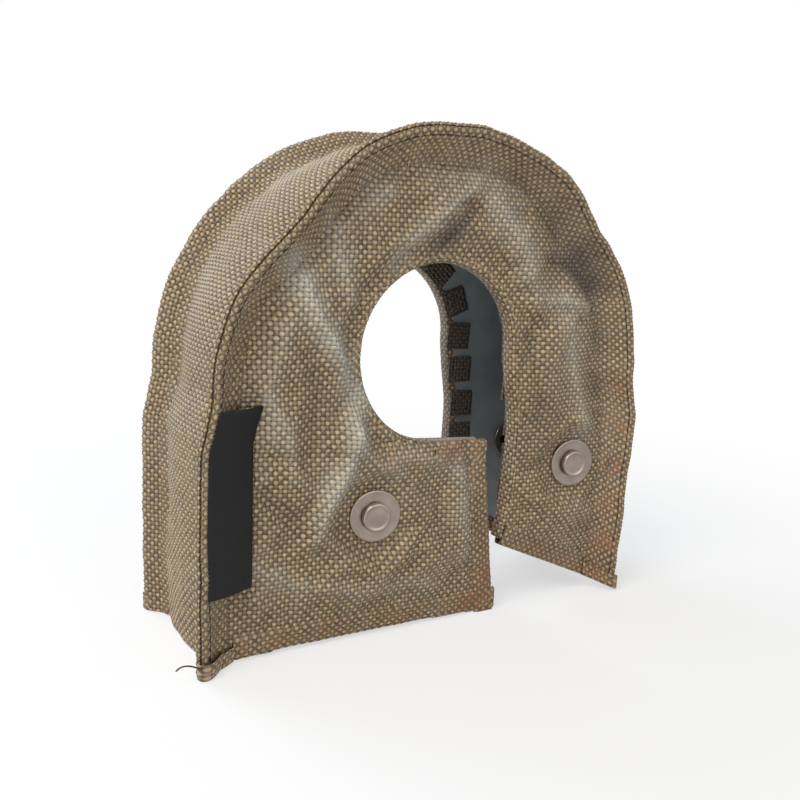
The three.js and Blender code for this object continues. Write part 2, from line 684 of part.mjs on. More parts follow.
for (const [name, side] of [['front', -1], ['back', 1]]) {
  const cloth = addTabs(pierce(faceSkin(side), side, true), side);
  addPiece(`${name}_cloth`, cloth, clothColour);
  addPiece(`${name}_insulation`, pierce(facePadding(side), side), paddingColour);
  addPiece(`${name}_lining`, pierce(faceLining(side), side), liningColour);
}
addPiece('band_cloth', bandSkin(), clothColour);
const paddingTop = (y) => bandProfile(y) + SKIN + CLEARANCE;
const paddingBottom = BAND_INSIDE + BAND_PADDING;
addPiece('band_insulation', bandLayer(paddingTop, paddingBottom, BAND_ROWS), paddingColour);
const liningTop = () => BAND_LINER_START;
addPiece('band_lining', bandLayer(liningTop, BAND_LINER_START + LINER, [-1, 1]), liningColour);

for (const rivet of RIVETS) {
  const grip = rivetGrip(rivet);
  const matrix = rivetMatrix(rivet);
  const bore = SHANK_RADIUS + CLEARANCE;
  const outer = ringGeometry(WASHER_RADIUS, bore, CLEARANCE, CLEARANCE + WASHER_THICKNESS);
  addPiece(`${rivet.name}_washer`, outer, steelColour, matrix);
  const inner = ringGeometry(INNER_WASHER_RADIUS, bore, -grip - CLEARANCE - LINER, -grip - CLEARANCE);
  addPiece(`${rivet.name}_inner_washer`, inner, steelColour, matrix);
  addPiece(`${rivet.name}_rivet`, buttonGeometry(grip), steelColour, matrix);
}
addPiece('label', labelGeometry(), labelColour);

export default blanket;
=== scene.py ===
import logging
import math
from dataclasses import dataclass
from enum import Enum
from typing import Callable, Sequence

import bmesh
import bpy
import numpy as np
from mathutils import Matrix, Vector
from mathutils.bvhtree import BVHTree


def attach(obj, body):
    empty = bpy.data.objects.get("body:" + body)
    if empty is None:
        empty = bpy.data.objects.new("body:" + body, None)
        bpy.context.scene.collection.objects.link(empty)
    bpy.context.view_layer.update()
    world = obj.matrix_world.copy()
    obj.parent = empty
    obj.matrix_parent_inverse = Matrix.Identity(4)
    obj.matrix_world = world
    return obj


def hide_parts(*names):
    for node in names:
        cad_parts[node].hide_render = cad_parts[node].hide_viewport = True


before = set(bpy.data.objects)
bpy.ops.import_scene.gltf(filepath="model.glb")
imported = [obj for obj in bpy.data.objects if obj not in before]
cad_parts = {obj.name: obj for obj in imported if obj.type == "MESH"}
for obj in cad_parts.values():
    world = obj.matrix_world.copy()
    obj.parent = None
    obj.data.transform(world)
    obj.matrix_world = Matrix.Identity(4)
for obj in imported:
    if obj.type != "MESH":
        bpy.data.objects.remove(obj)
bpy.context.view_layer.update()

# A padded heat blanket of woven basalt cloth, dressed over its frame.
# Sizes are in millimetres; a mesh is scaled to metres when it is made.
MM = 0.001
LOG = logging.getLogger("heat_blanket")

# Yarns of the cloth, and the cells of a mesh that follows them
YARN_PITCH = 1.62
CELLS_PER_YARN = 3
CELL = YARN_PITCH / CELLS_PER_YARN
YARN_RELIEF = 0.26


class Side(Enum):
    """Which face of the blanket, as the sign of its depth."""

    FRONT = -1
    BACK = 1


# Small helpers for numbers
def smooth(value: np.ndarray, low: float, high: float) -> np.ndarray:
    """Rises smoothly from 0 at low to 1 at high.

    Args:
        value: numbers to weigh.
        low: where the rise starts.
        high: where the rise ends.

    Returns:
        The weights, from 0 to 1.
    """
    share = np.clip((np.asarray(value, float) - low) / (high - low), 0.0, 1.0)
    return share * share * (3.0 - 2.0 * share)


def mix(start: np.ndarray, end: np.ndarray, share: np.ndarray) -> np.ndarray:
    """Goes from start to end.

    Args:
        start: value at share 0.
        end: value at share 1.
        share: how far along.

    Returns:
        The value between them.
    """
    return start + (end - start) * share


def soft_noise(across: np.ndarray, along: np.ndarray, size: float, seed: int) -> np.ndarray:
    """Rolling unevenness of cloth, from -1 to 1.

    Args:
        across: first coordinate, in millimetres.
        along: second coordinate, in millimetres.
        size: distance between humps, in millimetres.
        seed: picks one pattern of humps.

    Returns:
        A height for each point.
    """
    cells = 64
    table = np.random.default_rng(seed).uniform(-1.0, 1.0, (cells, cells))
    column = np.floor(across / size).astype(int)
    row = np.floor(along / size).astype(int)
    right = smooth(across / size - column, 0.0, 1.0)
    up = smooth(along / size - row, 0.0, 1.0)
    column, row = column % cells, row % cells
    next_column, next_row = (column + 1) % cells, (row + 1) % cells
    low = mix(table[column, row], table[next_column, row], right)
    high = mix(table[column, next_row], table[next_column, next_row], right)
    return mix(low, high, up)


def linear(colour: str) -> tuple[float, float, float, float]:
    """Turns an sRGB hex colour to the linear one that a shader takes.

    Args:
        colour: six hex digits after a hash.

    Returns:
        Linear red, green, blue and 1.
    """
    parts = [int(colour[i : i + 2], 16) / 255.0 for i in (1, 3, 5)]
    curve = [p / 12.92 if p <= 0.04045 else ((p + 0.055) / 1.055) ** 2.4 for p in parts]
    return (*curve, 1.0)


# The outline of the blanket
@dataclass(frozen=True)
class Dip:
    """A place where the front seam sags below the arch.

    Args:
        depth: how far it sags.
        angle: its place on the arch, in degrees from the right.
        spread: its half width, in degrees.
    """

    depth: float
    angle: float
    spread: float

    def at(self, degrees: np.ndarray) -> np.ndarray:
        """Sag at an angle of the arch."""
        return self.depth * np.exp(-(((degrees - self.angle) / self.spread) ** 2))


@dataclass(frozen=True)
class Course:
    """Stations along the blanket, from the foot's left corner over the arch to the short leg's end.

    Args:
        travel: distance along the seam crest.
        outer: the crest, as x and z.
        inner: the matching point of the inner edge, as x and z.
        from_end: distance from the nearer hem.
        dip: sag of the front crest.
    """

    travel: np.ndarray
    outer: np.ndarray
    inner: np.ndarray
    from_end: np.ndarray
    dip: np.ndarray

    @property
    def length(self) -> float:
        """Whole length of the crest."""
        return float(self.travel[-1])

    def at(self, travel: np.ndarray) -> "Course":
        """Stations at other distances.

        Args:
            travel: distances along the crest.

        Returns:
            A course with one station for each distance.
        """

        def pick(values: np.ndarray) -> np.ndarray:
            return np.interp(travel, self.travel, values)

        outer = np.stack([pick(self.outer[:, 0]), pick(self.outer[:, 1])], -1)
        inner = np.stack([pick(self.inner[:, 0]), pick(self.inner[:, 1])], -1)
        return Course(np.asarray(travel), outer, inner, pick(self.from_end), pick(self.dip))

    def directions(self) -> tuple[np.ndarray, np.ndarray]:
        """Unit directions from the crest to the inner edge, and the distances."""
        away = self.inner - self.outer
        reach = np.linalg.norm(away, axis=-1)
        return away / reach[..., None], reach

    def place(self, offset: np.ndarray, dip_share: np.ndarray) -> np.ndarray:
        """Points at a distance in from the crest.

        Args:
            offset: distance in from the crest, one for each station.
            dip_share: how much of the front crest's sag holds here.

        Returns:
            Points as x and z.
        """
        towards, _ = self.directions()
        return self.outer + towards * (offset + self.dip * dip_share)[..., None]


@dataclass(frozen=True)
class Outline:
    """The blanket's outline in the plane of a face, as the frame has it."""

    arch_radius: float = 92.4
    arch_centre: float = 97.2
    half_depth: float = 32.65
    left_flare: float = 4.1
    left_floor_flare: float = 3.6
    right_flare: float = 4.1
    right_floor_flare: float = 0.9
    flare_drop: float = 20.0
    dips: tuple[Dip, ...] = (Dip(6.6, 139.0, 17.0), Dip(3.6, 41.0, 9.0))
    hole_radius: float = 33.5
    hole_x: float = -1.4
    hole_height: float = 107.3
    hole_left_angle: float = 200.0
    hole_bottom_angle: float = 268.0
    foot_lip: float = 8.4
    foot_lip_angle: float = -56.0
    foot_corner_x: float = 31.5
    foot_hem_lift: float = 1.6
    back_drop: float = 16.0
    lip_share: float = 1.0 / 6.0
    slot_top_width: float = 14.0
    slot_bottom_width: float = 4.0
    leg_hem_height: float = 27.6
    leg_corner_height: float = 0.45
    hem_height: float = 8.0
    step: float = 0.8

    def hole_point(self, degrees: np.ndarray, extra: float = 0.0) -> np.ndarray:
        """A point of the round opening's edge.

        Args:
            degrees: angle from the right, turning up.
            extra: distance outside the edge.

        Returns:
            Points as x and z.
        """
        angle = np.radians(degrees)
        radius = self.hole_radius + extra
        x = self.hole_x + radius * np.cos(angle)
        return np.stack([x, self.hole_height + radius * np.sin(angle)], -1)

    @property
    def foot_corner(self) -> np.ndarray:
        """Upper right corner of the foot."""
        return self.hole_point(np.float64(self.foot_lip_angle), self.foot_lip)

    def foot_edge_x(self, z: np.ndarray) -> np.ndarray:
        """Right edge of the foot at a height."""
        corner = self.foot_corner
        return mix(self.foot_corner_x, corner[0], np.minimum(z / corner[1], 1.0))

    def leg_edge_x(self, z: np.ndarray) -> np.ndarray:
        """Inner edge of the short leg at a height."""
        corner = self.foot_corner
        top = corner[0] + self.slot_top_width
        bottom = self.foot_edge_x(np.float64(self.leg_hem_height)) + self.slot_bottom_width
        above = smooth(self.hole_height - z, 0.0, self.hole_height - corner[1])
        drop = np.clip((corner[1] - z) / (corner[1] - self.leg_hem_height), 0.0, None)
        upper = mix(self.hole_x + self.hole_radius, top, above)
        return np.where(z > corner[1], upper, mix(top, bottom, drop * drop))

    def leg_x(self, z: np.ndarray, flare: float, floor_flare: float) -> np.ndarray:
        """Distance of a leg's crest from the middle, at a height.

        Args:
            z: heights.
            flare: how far the leg spreads below the arch.
            floor_flare: how much of that is left at the floor.

        Returns:
            Distances from the middle.
        """
        below = self.arch_centre - z
        out = flare * smooth(below, 0.0, self.flare_drop)
        drop = self.arch_centre - self.flare_drop
        to_floor = np.clip(below - self.flare_drop, 0.0, None) / drop
        return self.arch_radius + mix(out, floor_flare, to_floor * to_floor)

    def course(self, side: Side) -> Course:
        """All stations, close together, from the foot to the short leg.

        Args:
            side: the face; the back opening reaches lower over the foot.

        Returns:
            The face's course.
        """
        drop = self.back_drop if side is Side.BACK else 0.0
        corner, centre = self.foot_corner, self.arch_centre

        def lowered(place: np.ndarray, share: np.ndarray) -> np.ndarray:
            return place - np.stack([0.0 * share, drop * share], -1)

        lip_top = mix(corner[1], centre, self.lip_share)

        def steps(distance: float) -> np.ndarray:
            return np.linspace(0.0, 1.0, max(2, round(distance / self.step)))

        def row(outer_x, outer_z, inner, from_end, dip) -> np.ndarray:
            parts = [outer_x, outer_z, inner[..., 0], inner[..., 1], from_end, dip]
            return np.stack(np.broadcast_arrays(*parts), -1)

        def left(z: np.ndarray) -> np.ndarray:
            return -self.leg_x(z, self.left_flare, self.left_floor_flare)

        z = steps(corner[1]) * corner[1]
        edge = lowered(np.stack([self.foot_edge_x(z), z], -1), z / corner[1])
        rows = [row(left(z), z, edge, z, 0.0)]
        share = steps(lip_top - corner[1])[1:]
        z = mix(corner[1], lip_top, share)
        hole_bottom = self.hole_point(np.float64(self.hole_bottom_angle))
        lip = mix(corner, hole_bottom, share[:, None])
        weight = 1.0 - smooth(self.lip_share * share, 0.0, 1.0)
        rows.append(row(left(z), z, lowered(lip, weight), z, 0.0))
        share = steps(centre - lip_top)[1:]
        z = mix(lip_top, centre, share)
        turned = self.hole_point(mix(self.hole_bottom_angle, self.hole_left_angle, share))
        weight = 1.0 - smooth(mix(self.lip_share, 1.0, share), 0.0, 1.0)
        rows.append(row(left(z), z, lowered(turned, weight), z, 0.0))
        share = steps(math.pi * self.arch_radius)[1:]
        angle = 180.0 - 180.0 * share
        first = mix(self.hole_left_angle, 90.0, share * 2.0)
        inner_angle = np.where(share < 0.5, first, 180.0 - 180.0 * share)
        x = self.arch_radius * np.cos(np.radians(angle))
        z = centre + self.arch_radius * np.sin(np.radians(angle))
        dip = sum(dip.at(angle) for dip in self.dips)
        rows.append(row(x, z, self.hole_point(inner_angle), centre, dip))
        share = steps(centre)[1:]
        z = mix(centre, self.leg_corner_height, share)
        x = self.leg_x(z, self.right_flare, self.right_floor_flare)
        inner_z = mix(self.hole_height, self.leg_hem_height, share)
        inner = np.stack([self.leg_edge_x(inner_z), inner_z], -1)
        rows.append(row(x, z, inner, centre * (1.0 - share), 0.0))
        table = np.concatenate(rows)
        gaps = np.linalg.norm(np.diff(table[:, :2], axis=0), axis=1)
        travel = np.concatenate([[0.0], np.cumsum(gaps)])
        return Course(travel, table[:, :2], table[:, 2:4], table[:, 4], table[:, 5])

    def hem_lift(self, place: np.ndarray) -> np.ndarray:
        """Raises the foot's hem a little between its two corners.

        Args:
            place: points as x and z.

        Returns:
            The points with their new heights.
        """
        left = -self.arch_radius - self.left_floor_flare
        share = np.clip((place[..., 0] - left) / (self.foot_corner_x - left), 0.0, 1.0)
        fade = 1.0 - smooth(place[..., 1], 0.0, self.hem_height)
        lifted = place.copy()
        lifted[..., 1] += self.foot_hem_lift * np.sin(np.pi * share) * fade
        return lifted


OUTLINE = Outline()
COURSES = {side: OUTLINE.course(side) for side in Side}
COURSE = COURSES[Side.FRONT]


def spread(table: np.ndarray, column: np.ndarray, row: np.ndarray) -> np.ndarray:
    """Reads a coarse table smoothly between its points.

    Args:
        table: values in columns and rows.
        column: columns to read at, whole or not.
        row: rows to read at, whole or not.

    Returns:
        A value for each place.
    """

    def weights(share: np.ndarray) -> list[np.ndarray]:
        square, cube = share**2, share**3
        return [
            (2 * square - cube - share) / 2,
            (3 * cube - 5 * square + 2) / 2,
            (4 * square - 3 * cube + share) / 2,
            (cube - square) / 2,
        ]

    last_column, last_row = table.shape[0] - 1, table.shape[1] - 1
    i = np.clip(np.floor(column).astype(int), 0, last_column - 1)
    j = np.clip(np.floor(row).astype(int), 0, last_row - 1)
    total = np.zeros(np.shape(i))
    for a, across in enumerate(weights(column - i)):
        for b, along in enumerate(weights(row - j)):
            near = table[np.clip(i + a - 1, 0, last_column), np.clip(j + b - 1, 0, last_row)]
            total = total + across * along * near
    return total


@dataclass(frozen=True)
class ClothSettling:
    """Blender's cloth, which lets a sheet swell and crease between its seams.

    Args:
        pressure: push of the padding.
        growth: how much larger the cloth was cut than its place.
        frames: steps of the simulation.
        quality: solver steps in each frame.
        mass: mass of a vertex.
        stretch: stiffness along the yarns.
        shear: stiffness across them.
        bending: stiffness against folding.
    """

    pressure: float = 4.0
    growth: float = 0.05
    frames: int = 20
    quality: int = 6
    mass: float = 0.3
    stretch: float = 30.0
    shear: float = 12.0
    bending: float = 0.4

    def moves(
        self, points: np.ndarray, pinned: np.ndarray, outward: np.ndarray, cap: float
    ) -> np.ndarray:
        """Settles a sheet.

        Args:
            points: columns by rows of points, in millimetres.
            pinned: for each, how firmly it is held, from 0 to 1.
            outward: for each, the way out as a unit vector.
            cap: the farthest that a point may move, in millimetres.

        Returns:
            How far each point moved out.
        """
        columns, rows = points.shape[0] - 1, points.shape[1] - 1
        grid = create_sheet(columns, rows)
        column, row = (places.astype(int) for places in grid_places(grid, columns, rows))
        for vertex, point in zip(grid.verts, points[column, row]):
            vertex.co = point
        sheet = mesh_object("settling_sheet", grid)
        faces = outward[:-1, :-1].reshape(-1, 3).mean(0)
        face_outward(sheet, np.broadcast_to(faces, (len(sheet.data.polygons), 3)))
        group = sheet.vertex_groups.new(name="pinned")
        for index, weight in enumerate(pinned[column, row]):
            group.add([index], float(weight), "REPLACE")
        cloth = sheet.modifiers.new("settling", "CLOTH")
        settings = cloth.settings
        settings.quality = self.quality
        settings.mass = self.mass
        settings.tension_stiffness = self.stretch
        settings.compression_stiffness = self.stretch
        settings.shear_stiffness = self.shear
        settings.bending_stiffness = self.bending
        settings.vertex_group_mass = group.name
        settings.use_pressure = True
        settings.uniform_pressure_force = self.pressure
        settings.shrink_min = -self.growth
        settings.effector_weights.gravity = 0.0
        cloth.point_cache.frame_start = 1
        cloth.point_cache.frame_end = self.frames
        scene = bpy.context.scene
        for number in range(1, self.frames + 1):
            scene.frame_set(number)
        settled = sheet.evaluated_get(bpy.context.evaluated_depsgraph_get())
        found = np.empty(len(settled.data.vertices) * 3)
        settled.data.vertices.foreach_get("co", found)
        shift = found.reshape(-1, 3) / MM - points[column, row]
        table = np.zeros(points.shape[:2])
        table[column, row] = (shift * outward[column, row]).sum(1)
        scene.frame_set(1)
        bpy.data.objects.remove(sheet)
        free = 1.0 - pinned
        return np.tanh(table / cap) * cap * free


# Folds and hollows of the padded faces
@dataclass(frozen=True)
class Fold:
    """A soft ridge along points of a face, or a hollow where its height is negative.

    Args:
        points: places as x and z.
        height: height above the padding.
        width: half width.
    """

    points: tuple[tuple[float, float], ...]
    height: float
    width: float

    def at(self, x: np.ndarray, z: np.ndarray) -> np.ndarray:
        """Height of the fold at places of the face.

        Args:
            x: places across.
            z: places up.

        Returns:
            Heights.
        """
        near = np.full(np.shape(x), np.inf)
        for (x0, z0), (x1, z1) in zip(self.points, self.points[1:]):
            span = (x1 - x0) ** 2 + (z1 - z0) ** 2
            share = np.clip(((x - x0) * (x1 - x0) + (z - z0) * (z1 - z0)) / span, 0.0, 1.0)
            near = np.minimum(near, np.hypot(x - mix(x0, x1, share), z - mix(z0, z1, share)))
        sharp = np.exp(-near / (0.45 * self.width))
        return self.height * (0.62 * np.exp(-((near / self.width) ** 2)) + 0.5 * sharp)


FRONT_FOLDS = (
    Fold(((-62, 140), (-54, 121), (-43, 105), (-37, 92), (-37, 80)), 3.4, 5.5),
    Fold(((-37, 80), (-41, 67), (-48, 54), (-52, 42)), 2.4, 5.0),
    Fold(((-48, 112), (-40, 100), (-31, 92)), 1.6, 3.2),
    Fold(((-30, 118), (-36, 100), (-44, 88)), -1.8, 3.5),
    Fold(((-34, 74), (-26, 66), (-12, 60)), 1.5, 3.2),
    Fold(((-72, 96), (-64, 84), (-60, 66)), 1.3, 3.4),
    Fold(((-50, 156), (-45, 141), (-40, 127)), 1.5, 4.0),
    Fold(((-56, 108), (-52, 92), (-54, 74)), -1.6, 6.0),
    Fold(((-24, 141), (-15, 151), (-4, 161), (8, 168)), 2.6, 5.0),
    Fold(((8, 161), (-1, 151), (-9, 143)), -2.6, 4.5),
    Fold(((19, 163), (30, 151), (37, 138)), 2.4, 7.0),
    Fold(((-4, 172), (9, 174), (24, 171), (36, 164)), 1.4, 3.5),
    Fold(((48, 143), (60, 140), (71, 132)), -2.4, 5.0),
    Fold(((42, 128), (55, 127), (68, 125)), 2.2, 4.5),
    Fold(((58, 118), (63, 98), (72, 74)), 2.0, 6.0),
    Fold(((40, 114), (47, 88), (50, 60)), -1.4, 5.5),
    Fold(((-21, 69), (-6, 68), (8, 63)), 1.6, 5.0),
    Fold(((12, 60), (13, 41), (15, 25)), 1.5, 4.5),
    Fold(((-12, 60), (0, 50), (4, 36)), -1.6, 6.0),
    Fold(((-80, 37), (-58, 25), (-33, 19), (-4, 18)), 1.4, 5.0),
    Fold(((-72, 60), (-62, 50), (-48, 36)), -1.4, 6.0),
    Fold(((-28, 166), (-36, 160), (-46, 153)), 1.2, 4.5),
    Fold(((-66, 118), (-70, 100), (-68, 80)), 1.2, 5.0),
)
BACK_FOLDS = (
    Fold(((-58, 136), (-50, 120), (-42, 106)), 2.4, 6.5),
    Fold(((-42, 106), (-40, 86), (-48, 62)), 1.6, 6.0),
    Fold(((-14, 168), (4, 171), (24, 168)), 1.8, 5.5),
    Fold(((46, 142), (56, 128), (62, 110)), 2.4, 6.0),
    Fold(((30, 152), (38, 140), (42, 128)), -1.8, 5.0),
    Fold(((56, 104), (58, 86), (60, 76)), 1.6, 6.0),
    Fold(((4, 62), (8, 48), (10, 32)), 1.8, 6.0),
    Fold(((-78, 34), (-50, 24), (-20, 20)), 1.4, 5.5),
    Fold(((-70, 96), (-66, 76), (-60, 60)), -1.4, 6.0),
)


@dataclass(frozen=True)
class RivetPlace:
    """Where a rivet sits on a face.

    Args:
        name: name of its nodes, without the last word.
        side: the face.
        x: place across.
        z: place up.
        turn: turn about the upright axis, in degrees.
    """

    name: str
    side: Side
    x: float
    z: float
    turn: float


RIVETS = (
    RivetPlace("front_left", Side.FRONT, -26.5, 47.2, 9.0),
    RivetPlace("front_right", Side.FRONT, 68.4, 58.6, 8.0),
    RivetPlace("back_left", Side.BACK, -26.5, 34.2, 4.0),
    RivetPlace("back_right", Side.BACK, 68.4, 58.6, 4.0),
)


@dataclass
class FaceForm:
    """The padded shape of one face, without its weave.

    Args:
        side: the face.
        folds: its folds and hollows.
        seed: picks its small unevenness.
        first: distance in from the crest where the padded middle starts.
        last: distance from the inner edge where it ends.
        lowest: the nearest that the cloth comes to the middle plane, clear of the mats.
        moves: what the settled cloth adds, once settle() has run.
    """

    side: Side
    folds: tuple[Fold, ...]
    seed: int
    valley_width: float = 12.0
    valley_recess: float = 7.6
    rim_recess: float = 6.4
    rim_width: float = 6.0
    pad_rise: float = 3.45
    swell_start: float = 0.34
    swell_end: float = 0.72
    end_fade: float = 24.0
    seat_recess: float = 7.4
    seat_flat: float = 11.5
    seat_blend: float = 9.0
    deep_valley: float = 2.4
    deep_travel: float = 315.0
    deep_spread: float = 62.0
    pucker: float = 0.7
    pucker_reach: float = 11.0
    lumps: float = 0.45
    first: float = 11.6
    last: float = 1.4
    lowest: float = 24.2
    settled_columns: int = 132
    settled_rows: int = 28
    settled_cap: float = 1.9
    moves: np.ndarray | None = None

    @property
    def course(self) -> Course:
        """The stations of this face."""
        return COURSES[self.side]

    def sheet_places(self, column: np.ndarray, row: np.ndarray) -> tuple[Course, np.ndarray]:
        """Stations and distances in from the crest for shares of the padded middle.

        Args:
            column: shares along the course.
            row: shares from the valley to the inner edge.

        Returns:
            The stations, and a distance for each.
        """
        stations = self.course.at(column * self.course.length)
        _, reach = stations.directions()
        end = reach - stations.dip * self.dip_share - self.last
        return stations, mix(self.first, end, row)

    def settle(self) -> None:
        shares = np.meshgrid(
            np.linspace(0.0, 1.0, self.settled_columns + 1),
            np.linspace(0.0, 1.0, self.settled_rows + 1), indexing="ij",
        )
        stations, offset = self.sheet_places(shares[0].ravel(), shares[1].ravel())
        place = stations.place(offset, np.float64(self.dip_share))
        level = self.side.value * self.level(stations, offset)
        shape = shares[0].shape
        points = np.stack([place[:, 0], level, place[:, 1]], -1).reshape(*shape, 3)
        pinned = 1.0 - smooth(shares[1], 0.02, 0.1) * (1.0 - smooth(shares[1], 0.9, 0.98))
        pinned = np.maximum(pinned, 1.0 - smooth(stations.from_end.reshape(shape), 8.0, 16.0))
        for rivet in self.seats():
            away = np.hypot(points[..., 0] - rivet.x, points[..., 2] - rivet.z)
            pinned = np.maximum(pinned, 1.0 - smooth(away, self.seat_flat, self.seat_flat + 4.0))
        outward = np.broadcast_to(np.array([0.0, float(self.side.value), 0.0]), points.shape)
        self.moves = ClothSettling().moves(points, pinned, outward, self.settled_cap)

    @property
    def dip_share(self) -> float:
        """How much of the front crest's sag this face has."""
        return 1.0 if self.side is Side.FRONT else 0.0

    def seats(self) -> list[RivetPlace]:
        """The rivets of this face."""
        return [rivet for rivet in RIVETS if rivet.side is self.side]

    def level(self, course: Course, offset: np.ndarray) -> np.ndarray:
        """Distance of the cloth from the blanket's middle plane.

        Args:
            course: stations.
            offset: distances in from the crest, one for each station.

        Returns:
            Distances from the middle plane.
        """
        _, reach = course.directions()
        reach = reach - course.dip * self.dip_share
        place = course.place(offset, np.float64(self.dip_share))
        x, z = place[..., 0], place[..., 1]
        half = OUTLINE.half_depth
        span = reach - self.rim_width - self.valley_width
        across = np.clip((offset - self.valley_width) / span, 0.0, 1.0)
        swell = smooth(across, 0.0, self.swell_start) * (1.0 - smooth(across, self.swell_end, 1.0))
        hem = OUTLINE.hem_height
        fade = smooth(course.from_end, hem / 2, hem + self.end_fade)
        base = mix(half - self.valley_recess, half - self.rim_recess, across)
        window = smooth(across, 0.0, 0.16) * (1.0 - smooth(across, 0.86, 1.0))
        folds = sum(fold.at(x, z) for fold in self.folds) * window
        lumps = soft_noise(x + 200, z + 200, 13.0, self.seed) + 0.5 * soft_noise(
            x + 200, z + 200, 6.0, self.seed + 1
        )
        gather = soft_noise(course.travel, offset * 0.35, 5.5, self.seed + 2)
        gather = gather * np.exp(-np.abs(offset - self.valley_width) / self.pucker_reach)
        deep = np.exp(-(((course.travel - self.deep_travel) / self.deep_spread) ** 2))
        base = base - self.deep_valley * deep * (1.0 - smooth(across, 0.04, 0.3))
        level = base + (self.pad_rise * swell + folds) * fade
        level = level + self.lumps * lumps * window + self.pucker * gather
        for rivet in self.seats():
            away = np.hypot(x - rivet.x, z - rivet.z)
            seat = half - self.seat_recess + np.tan(np.radians(rivet.turn)) * (x - rivet.x)
            weight = 1.0 - smooth(away, self.seat_flat, self.seat_flat + self.seat_blend)
            angle = np.arctan2(z - rivet.z, x - rivet.x)
            creases = 0.35 * np.cos(angle * 7.0 + 1.3 * np.sin(angle * 2.0))
            creases = creases * np.exp(-(((away - 15.0) / 5.0) ** 2))
            level = mix(level + creases, seat, weight)
        if self.moves is not None:
            share = np.clip((offset - self.first) / (reach - self.last - self.first), 0.0, 1.0)
            column = course.travel / self.course.length * self.settled_columns
            level = level + spread(self.moves, column, share * self.settled_rows)
        return np.maximum(level, self.lowest)

    def tree(self) -> BVHTree:
        """The form as a smooth sheet that other meshes are laid on."""
        columns, rows = round(self.course.length / 1.1), 90
        grid = create_sheet(columns, rows)
        column, row = grid_places(grid, columns, rows)
        stations, offset = self.sheet_places(column / columns, row / rows)
        place = OUTLINE.hem_lift(stations.place(offset, np.float64(self.dip_share)))
        level = self.level(stations, offset)
        for vertex, (x, z), y in zip(grid.verts, place, level):
            vertex.co = (x, self.side.value * y, z)
        tree = BVHTree.FromBMesh(grid)
        grid.free()
        return tree


# Meshes
def create_sheet(columns: int, rows: int) -> bmesh.types.BMesh:
    """A flat grid of quads, one unit on each side.

    Args:
        columns: quads across.
        rows: quads up.

    Returns:
        The grid.
    """
    grid = bmesh.new()
    bmesh.ops.create_grid(grid, x_segments=columns, y_segments=rows, size=0.5)
    grid.verts.ensure_lookup_table()
    return grid


def grid_places(grid: bmesh.types.BMesh, columns: int, rows: int) -> tuple[np.ndarray, np.ndarray]:
    """Column and row of each vertex of a fresh grid.

    Args:
        grid: a grid from create_sheet.
        columns: quads across.
        rows: quads up.

    Returns:
        Columns and rows, as whole numbers.
    """
    flat = np.array([vertex.co[:2] for vertex in grid.verts])
    return np.rint((flat[:, 0] + 0.5) * columns), np.rint((flat[:, 1] + 0.5) * rows)


def weave_relief(column: np.ndarray, row: np.ndarray) -> np.ndarray:
    """Height of a plain weave at the corners of its cells.

    Args:
        column: cell corners across the warp yarns.
        row: cell corners across the weft yarns.

    Returns:
        Heights in millimetres, highest where a yarn passes over another.
    """
    column, row = np.rint(column).astype(int) + 1, np.rint(row).astype(int) + 1
    across = np.abs(column % CELLS_PER_YARN - 1)
    along = np.abs(row % CELLS_PER_YARN - 1)
    warp_over = (column // CELLS_PER_YARN + row // CELLS_PER_YARN) % 2 == 0
    run = np.where(warp_over, along, across)
    width = np.where(warp_over, across, along)
    height = np.where(width == 0, np.where(run == 0, 1.0, 0.5), np.where(run == 0, -0.4, -1.0))
    return YARN_RELIEF * height


def mesh_object(name: str, source: bmesh.types.BMesh) -> bpy.types.Object:
    """Turns a bmesh in millimetres to an object in metres.

    Args:
        name: the piece's name.
        source: the mesh, freed here.

    Returns:
        The new object, smooth shaded.
    """
    bmesh.ops.scale(source, vec=(MM, MM, MM), verts=source.verts)
    mesh = bpy.data.meshes.new(name)
    source.to_mesh(mesh)
    source.free()
    mesh.polygons.foreach_set("use_smooth", [True] * len(mesh.polygons))
    piece = bpy.data.objects.new(name, mesh)
    bpy.context.scene.collection.objects.link(piece)
    return piece


def face_outward(piece: bpy.types.Object, outward: np.ndarray) -> None:
    """Turns a sheet round if it faces the wrong way.

    Args:
        piece: the sheet.
        outward: the way out at each face, of any length.
    """
    mesh = piece.data
    normals = np.empty(len(mesh.polygons) * 3)
    mesh.polygons.foreach_get("normal", normals)
    if (normals.reshape(-1, 3) * outward).sum() < 0:
        mesh.flip_normals()


def centres(piece: bpy.types.Object) -> np.ndarray:
    """Middle of each face of a piece, in millimetres."""
    found = np.empty(len(piece.data.polygons) * 3)
    piece.data.polygons.foreach_get("center", found)
    return found.reshape(-1, 3) / MM


def corners(piece: bpy.types.Object) -> np.ndarray:
    """Each vertex of a piece, in millimetres."""
    found = np.empty(len(piece.data.vertices) * 3)
    piece.data.vertices.foreach_get("co", found)
    return found.reshape(-1, 3) / MM


def paint(piece: bpy.types.Object, yarns: np.ndarray, rust_and_painted_light: np.ndarray) -> None:
    """Gives a piece its weave coordinates, its rust and its painted sheen and shade.

    Args:
        piece: the piece.
        yarns: for each vertex, how many yarns across and up it lies.
        rust_and_painted_light: for each vertex, how rusty the cloth is, how much painted sheen and how
            much painted shade it has, from 0 to 1.
    """
    mesh = piece.data
    loops = np.empty(len(mesh.loops), dtype=int)
    mesh.loops.foreach_get("vertex_index", loops)
    layer = mesh.uv_layers.new(name="weave")
    layer.data.foreach_set("uv", yarns[loops].astype(np.float32).ravel())
    rust_and_light_layer = mesh.attributes.new("rust_and_painted_light", "FLOAT_COLOR", "POINT")
    colours = np.concatenate([np.clip(rust_and_painted_light, 0.0, 1.0), np.ones((len(rust_and_painted_light), 1))], 1)
    rust_and_light_layer.data.foreach_set("color", colours.astype(np.float32).ravel())


